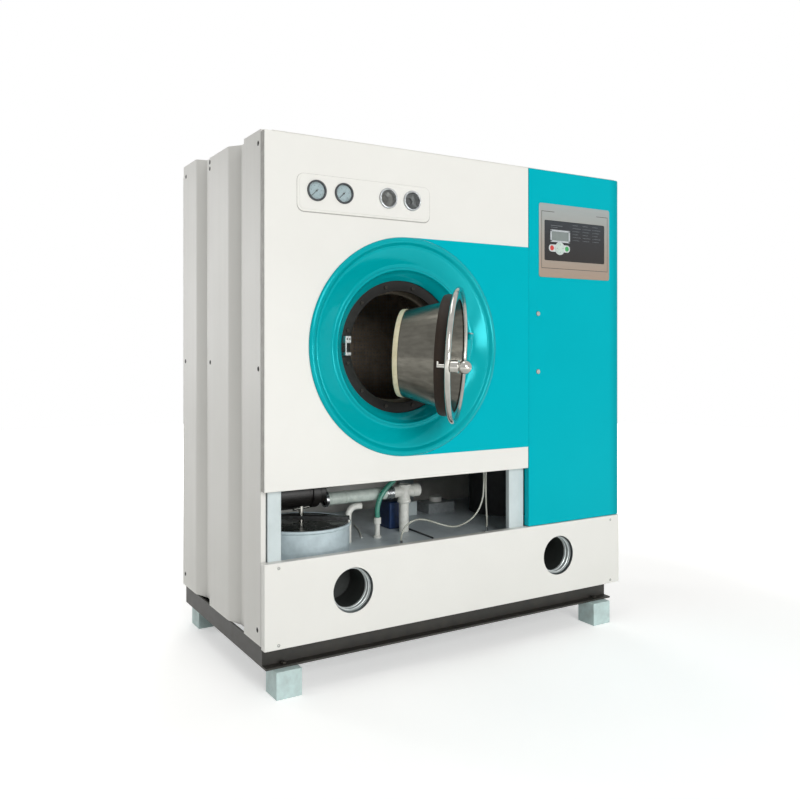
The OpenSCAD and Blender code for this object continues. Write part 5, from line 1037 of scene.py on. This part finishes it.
# Heights of the top edge, from the front: it falls over each rib and rises to the rear.
top_line = ((30, 1682.8), (171, 1682.8), (171.1, 1683.8), (248, 1683.8), (312, 1689.8), (504, 1689.8), (504.1, 1702.8),
            (592, 1702.8), (652, 1714.8), (806, 1714.8))
for label, turn in (("left", False), ("right", True)):
    bm = bmesh.new()
    line = [bm.verts.new((cabinet_w - x if turn else x, y, 145)) for x, y in rounded(side_line, 3.2, 4)]
    edges = [bm.edges.new(pair) for pair in zip(line, line[1:])]
    # It is drawn up from its lower edge in three lifts, and the last edge is then set to the top line.
    for lift in (1, 771, 773):
        moved, edges = extruded(bm, edges, (0, 0, lift))
        edges = [e for e in edges if all(abs(v.co.z - moved[0].co.z) < 0.01 for v in e.verts)]
    bmesh.ops.recalc_face_normals(bm, faces=bm.faces)
    face_out(bm, Vector((1 if turn else -1, 0, 0)))
    for v in bm.verts:
        if v.co.z > 1689:
            (y0, z0), (y1, z1) = next(pair for pair in zip(top_line, top_line[1:]) if v.co.y <= pair[1][0] + 0.01)
            v.co.z = z0 + (z1 - z0) * (v.co.y - y0) / (y1 - y0)
    obj = give_wall(made("side_sheet_" + label, bm, [side_coat], "cabinet", ["side_panels"], "side_paint"))
    edge = obj.modifiers.new("cut_edge", "BEVEL")
    edge.width, edge.segments, edge.limit_method, edge.angle_limit = 0.0004, 2, "ANGLE", radians(60)
    obj.modifiers.move(2, 1)

# Screw places: back from the front, height and depth of the sheet there.
side_screws = ((50, 1644, 0), (498, 1674, 0), (498, 1652, 0), (774, 1674, 0), (49, 970, 0), (198, 973, rib),
               (494, 984, 0), (780, 984, 0), (57, 188, 0), (780, 189, 0))
heads, washers = bmesh.new(), bmesh.new()
for y, z, depth in side_screws:
    for right in (False, True):
        for target, section in ((heads, [(0, 1.95), (3, 1.8), (5, 1.2), (5.9, 0.3), (5.9, 0)]),
                                (washers, [(6, 0.5), (6.4, 0.75), (7.2, 0.45), (7.8, 0.05)])):
            ring = turned(target, section, 20, axis=(0, 0, 1))
            out = Matrix.Rotation(pi / 2 if right else -pi / 2, 3, "Y")
            bmesh.ops.rotate(target, cent=(0, 0, 0), matrix=out, verts=ring)
            bmesh.ops.translate(target, vec=(cabinet_w - depth if right else depth, y, z), verts=ring)
# Black oxide on steel: nearly black, with a little shine.
black_screw = finish("black_oxide_screw", "#1c1b1a", "#302e2c", 3, (0.35, 0.5), 0.6, 0.02, Metallic=0.6)
made("side_screw_heads", heads, [black_screw], "cabinet", ["fasteners"], "zinc", 45)
made("side_cup_washers", washers, [black_screw], "cabinet", ["fasteners"], "zinc", 45)

# ---- Top cover and rear panel -----------------------------------------------------------------
# Flat white sheets: the cover follows the folds of the sides; the rear panel has
# pressed louvres for the drive, the exhaust opening and a cable gland.
edged("cover_sheet", "top_cover", [side_coat], "cabinet", "side_paint", 0.4, 1)
edged("rear_sheet", "rear_panel", [side_coat], "cabinet", "side_paint", 0.5, 2)
bm = bmesh.new()
for i in range(10):
    z = 708 + 24 * i
    hood = [bm.verts.new((1080, y, z + h)) for y, h in rounded([(807.4, 4), (807.6, 1.5), (814, -5), (814.6, -9)], 3)]
    extruded(bm, [bm.edges.new(pair) for pair in zip(hood, hood[1:])], (280, 0, 0))
bmesh.ops.recalc_face_normals(bm, faces=bm.faces)
obj = made("rear_louvres", bm, [side_coat], "cabinet", ["rear_panel"], "side_paint")
wall = obj.modifiers.new("sheet_thickness", "SOLIDIFY")
wall.thickness, wall.offset = 0.001, 0

# ---- Filter can --------------------------------------------------------------------------------
# A round welded can on the tank's deck, painted grey-blue, shut by a dark lid that
# a flat iron bar and a T-handled screw press down.
can_x, can_y = 218, 222
# The tank's grey-blue paint, worn smooth where the can is handled.
can_paint = finish("can_grey_blue_paint", "#c6d6db", "#b0c0c5", 35, (0.3, 0.46), 3, 0.08)
bm = bmesh.new()
turned(bm, rounded([(157.3, 366), (159.9, 366), (159.9, 450, 2), (164.8, 453.2, 1), (164.8, 460.8, 2),
                    (157.3, 460.8, 1)], 1), 128, closed=True, axis=(0, 0, 1), centre=(can_x, can_y, 0))
made("can_body", bm, [can_paint], "cabinet", ["filter_can"], "tank_paint", 35)
# Brushed enamel, still wet with solvent in places, so its gloss comes and goes.
lid_enamel = coated("dark_green_grey_lid_enamel", "#3a403c", "#262a27", (111, 5, 0.65), (0.12, 0.4), [(None, 0.3, 0.4)],
                    Specular_IOR_Level=0.5)
bm = bmesh.new()
turned(bm, rounded([(0, 455), (156.7, 455), (156.7, 458.6, 1), (149, 458.9, 1), (146, 457.4, 1), (30, 457.9, 1),
                    (27, 458.9, 1), (0, 458.9)], 0.6), 128, axis=(0, 0, 1), centre=(can_x, can_y, 0))
made("can_lid", bm, [lid_enamel], "cabinet", ["filter_can"], "tank_paint", 35)
# Hot-rolled flat iron with its mill scale: dark, spotty, half dull.
bar_iron = finish("dark_flat_iron", "#4a4d4e", "#33302d", 14, (0.32, 0.55), 1.6, 0.12, Metallic=0.7)
edged("clamp_bar", "filter_can", [bar_iron], "cabinet", "tank_paint", 1.4, 2, keep=lambda x, y, z: z > 468.8)
bm = bmesh.new()
for side in (-1, 1):
    turned(bm, rounded([(0, 470.6), (5.4, 470.6, 0.6), (5.4, 461)], 0.3), 24, axis=(0, 0, 1),
           centre=(can_x + side * 159 * cos(radians(37)), can_y - side * 159 * sin(radians(37)), 0))
made("clamp_studs", bm, [screw_zinc], "cabinet", ["filter_can"], "tank_paint", 35)
edged("t_handled_screw", "clamp_screw", [door_chrome], "clamp_screw", "chrome", 1.2, 3)

# ---- Pump, pipes and fittings in the service bay ----------------------------------------------------
# A black pump motor hangs from the front rail; its delivery pipe runs to a white
# moulded tee. A white elbow, a barbed hose foot and hexagon fittings stand on the deck.


def lay_along_x(bm, verts, near_end):
    """Lays down what was spun upright, and puts its lower end at near_end."""
    bmesh.ops.rotate(bm, cent=(0, 0, 0), matrix=Matrix.Rotation(pi / 2, 3, "Y"), verts=verts)
    bmesh.ops.translate(bm, vec=near_end, verts=verts)


# Enamel brushed thickly on cast iron: black, uneven, with a soft sheen.
pump_black = finish("black_motor_enamel", "#161514", "#2a2725", 20, (0.3, 0.5), 2, 0.1)
bm = bmesh.new()
body = [(0, 2), (30, 2), (46, 5, 3), (54.5, 10, 3), (54.5, 118), (50, 120, 1), (50, 128, 1), (55.6, 130, 1),
        (55.6, 158, 4), (43.6, 160, 1), (43.6, 182, 3), (0, 183.6)]
turned(bm, rounded(body, 1.5), 72, axis=(0, 0, 1))
fin = bmesh.ops.create_cube(bm, size=1)["verts"]
bmesh.ops.scale(bm, vec=(3.2, 1.8, 100), verts=fin)
bmesh.ops.translate(bm, vec=(54.1, 0, 65), verts=fin)
bmesh.ops.spin(bm, geom=list({f for v in fin for f in v.link_faces}) + fin, cent=(0, 0, 0), axis=(0, 0, 1),
               angle=2 * pi * 35 / 36, steps=35, use_duplicate=True)
lay_along_x(bm, bm.verts, (147, 300, 544))
made("pump_motor", bm, [pump_black], "cabinet", ["pump"], "motor_black", 35)
edged("pump_hanger", "pump", [pump_black], "cabinet", "motor_black", 1.5, 2, keep=lambda x, y, z: z > 583)

# Extruded and moulded PVC is smooth and half glossy; the union rings are nickel plated and bright.
pipe_plastic = finish("grey_green_pipe", "#dde8e0", "#c3d0c8", 24, (0.3, 0.45), 2, 0.04)
moulded_white = finish("white_moulded_fitting", "#e9eae4", "#d8d9d1", 16, (0.3, 0.44), 1.6, 0.04)
union_steel = finish("bright_union_ring", "#c4c7c8", "#999d9f", 5, (0.14, 0.3), 1.5, 0.03, Metallic=0.95)
pipe_y, pipe_z = 285, 513

bm = bmesh.new()
turned(bm, [(20.5, 343), (21.9, 343), (21.9, 575)], 48, axis=(0, 0, 1))
for x in (352, 410, 540):
    turned(bm, rounded([(21.9, x), (23.4, x + 0.6), (23.4, x + 7), (21.9, x + 7.6)], 0.6), 48, axis=(0, 0, 1))
lay_along_x(bm, bm.verts, (0, pipe_y, pipe_z))
made("delivery_pipe", bm, [pipe_plastic], "cabinet", ["bay_pipework"], "pipe_plastic", 35)
bm = bmesh.new()
turned(bm, rounded([(21, 331.4), (26.8, 331.4, 1.5), (26.8, 343, 1.5), (21, 343.4)], 0.5), 48, axis=(0, 0, 1))
turned(bm, rounded([(20, 575), (24.8, 575, 1.5), (24.8, 583, 1), (22.8, 584, 1), (22.8, 596, 1), (24.8, 597, 1),
                    (24.8, 605, 1.5), (19, 605)], 0.5), 48, axis=(0, 0, 1))
lay_along_x(bm, bm.verts, (0, pipe_y, pipe_z))
made("pipe_unions", bm, [union_steel], "cabinet", ["bay_pipework"], "pipe_plastic", 35)
bm = bmesh.new()
turned(bm, rounded([(0, 366), (17.8, 366), (17.8, 470, 1), (24.8, 474, 2), (24.8, 482, 1), (22.6, 484, 1),
                    (22.6, 529, 1), (24.8, 531, 1), (24.8, 538.8, 2), (16, 538.8, 1), (16, 520)], 0.5), 48,
       axis=(0, 0, 1), centre=(655, pipe_y, 0))
ring = turned(bm, rounded([(14, 605), (19.8, 605), (19.8, 686, 1), (22.8, 688, 1), (22.8, 716.8, 1.5), (15, 716.8, 1),
                           (15, 690)], 0.5), 48, axis=(0, 0, 1))
lay_along_x(bm, ring, (0, pipe_y, pipe_z))
made("moulded_tee", bm, [moulded_white], "cabinet", ["bay_pipework"], "pipe_plastic", 35)
edged("white_elbow", "bay_pipework", [moulded_white], "cabinet", "pipe_plastic", 1, 2,
      keep=lambda x, y, z: 385 < x < 460 and abs(y - 238) < 20)
edged("barbed_hose_foot", "bay_pipework", [moulded_white], "cabinet", "pipe_plastic", 1, 2,
      keep=lambda x, y, z: 505 < x < 545 and abs(y - 250) < 20)
edged("hexagon_fittings", "bay_pipework", [union_steel], "cabinet", "pipe_plastic", 0.7, 2,
      keep=lambda x, y, z: z < 400 and y < 140)
# Enamel over the cast valve: deep blue and half glossy.
valve_blue = finish("blue_valve_enamel", "#1d3a68", "#152b50", 14, (0.35, 0.5), 2, 0.1)
edged("valve_body", "bay_pipework", [valve_blue], "cabinet", "pipe_plastic", 6, 4,
      keep=lambda x, y, z: 620 < x < 710 and 330 < y < 430)
# The float's moulded housing: grey, half matt.
float_grey = finish("grey_float_housing", "#9ba1a3", "#83898b", 18, (0.35, 0.5), 2, 0.1)
edged("float_box", "bay_pipework", [float_grey, moulded_white], "cabinet", "pipe_plastic", 3, 3,
      keep=lambda x, y, z: x > 900 and y > 480, pick=lambda x, y, z: 1 if z > 409 else 0)
edged("tube_manifold", "bay_pipework", [union_steel], "cabinet", "pipe_plastic", 1.5, 2,
      keep=lambda x, y, z: z > 630 and y < 140)

# On the deck: a bent steel rod, dull with oil, a thin white drain pipe and a low splash plate.
rod_steel = finish("dull_steel_rod", "#5b5e60", "#3f4143", 12, (0.3, 0.5), 2, 0.05, Metallic=0.8)
for label, points, r, mat in (("bent_rod", [(664, 386), (688, 360), (689, 340), (682, 134)], 3.2, rod_steel),
                              ("thin_drain_pipe", [(550, 470), (520, 380), (474, 274)], 2.6, moulded_white)):
    route = [Vector((x, y, tank_top + 0.1 + r)) for x, y in points]
    bm = bmesh.new()
    loops = []
    for i, spot in enumerate(route):
        end = i in (0, len(route) - 1)
        along = route[min(i + 1, len(route) - 1)] - route[max(i - 1, 0)]
        loop = bmesh.ops.create_circle(bm, radius=r, segments=12, cap_ends=end, matrix=Matrix.Translation(spot)
                                       @ along.to_track_quat("Z", "Y").to_matrix().to_4x4())["verts"]
        loops.append(list({e for v in loop for e in v.link_edges}))
    for near, far in zip(loops, loops[1:]):
        bmesh.ops.bridge_loops(bm, edges=near + far)
    bmesh.ops.recalc_face_normals(bm, faces=bm.faces)
    made(label, bm, [mat], "cabinet", ["bay_pipework"], "pipe_plastic", 40)
bm = bmesh.new()
bar(bm, 716, 862, 365.1, 419, 524, 2, 0)
bmesh.ops.bevel(bm, geom=list(bm.edges), offset=0.5, affect="EDGES", segments=2, profile=0.5, material=-1)
made("splash_plate", bm, [post_paint], "cabinet", ["bay_pipework"], "pipe_plastic")

# ---- Still, fan, duct and electrical tray ----------------------------------------------------------
# Behind the closed panels: the still on the tank, the fan on its galvanised duct
# and the tray with the contactors behind the cabinet door.
# Galvanised sheet shows a soft spangle, and the contactors' moulded cases are grey. The still is
# painted dark and matt: painted shade, for the shade it stands in.
duct_zinc = finish("galvanised_duct_sheet", "#b4b9b8", "#8f9694", 14, (0.26, 0.46), 3, 0.05, Metallic=0.8)
still_painted_shade = finish("still_painted_shade_dark", "#2b2d2e", "#1f2122", 30, (0.6, 0.75), 4, 0.3)
edged("still_vessel", "still", [still_painted_shade], "cabinet", "spun_steel", 2, 2)
edged("fan_case", "fan_housing", [duct_zinc], "cabinet", "galvanised", 1.2, 2)
edged("fan_rotor", "fan_wheel", [duct_zinc], "fan_wheel", "galvanised", 0.4, 1)
edged("warm_air_duct", "air_duct", [duct_zinc], "cabinet", "galvanised", 0.7, 2)
contactor = finish("grey_contactor_case", "#4b5054", "#3b3f42", 12, (0.4, 0.55), 2, 0.05)
edged("component_tray", "electrical_tray", [side_coat, contactor], "cabinet", "side_paint", 1.5, 2,
      pick=lambda x, y, z: 1 if y < 284 and 1030 < x < 1370 and 700 < z < 1600 else 0)

# ---- View transform ----------------------------------------------------------------------------
bpy.context.scene.view_settings.view_transform = "Standard"
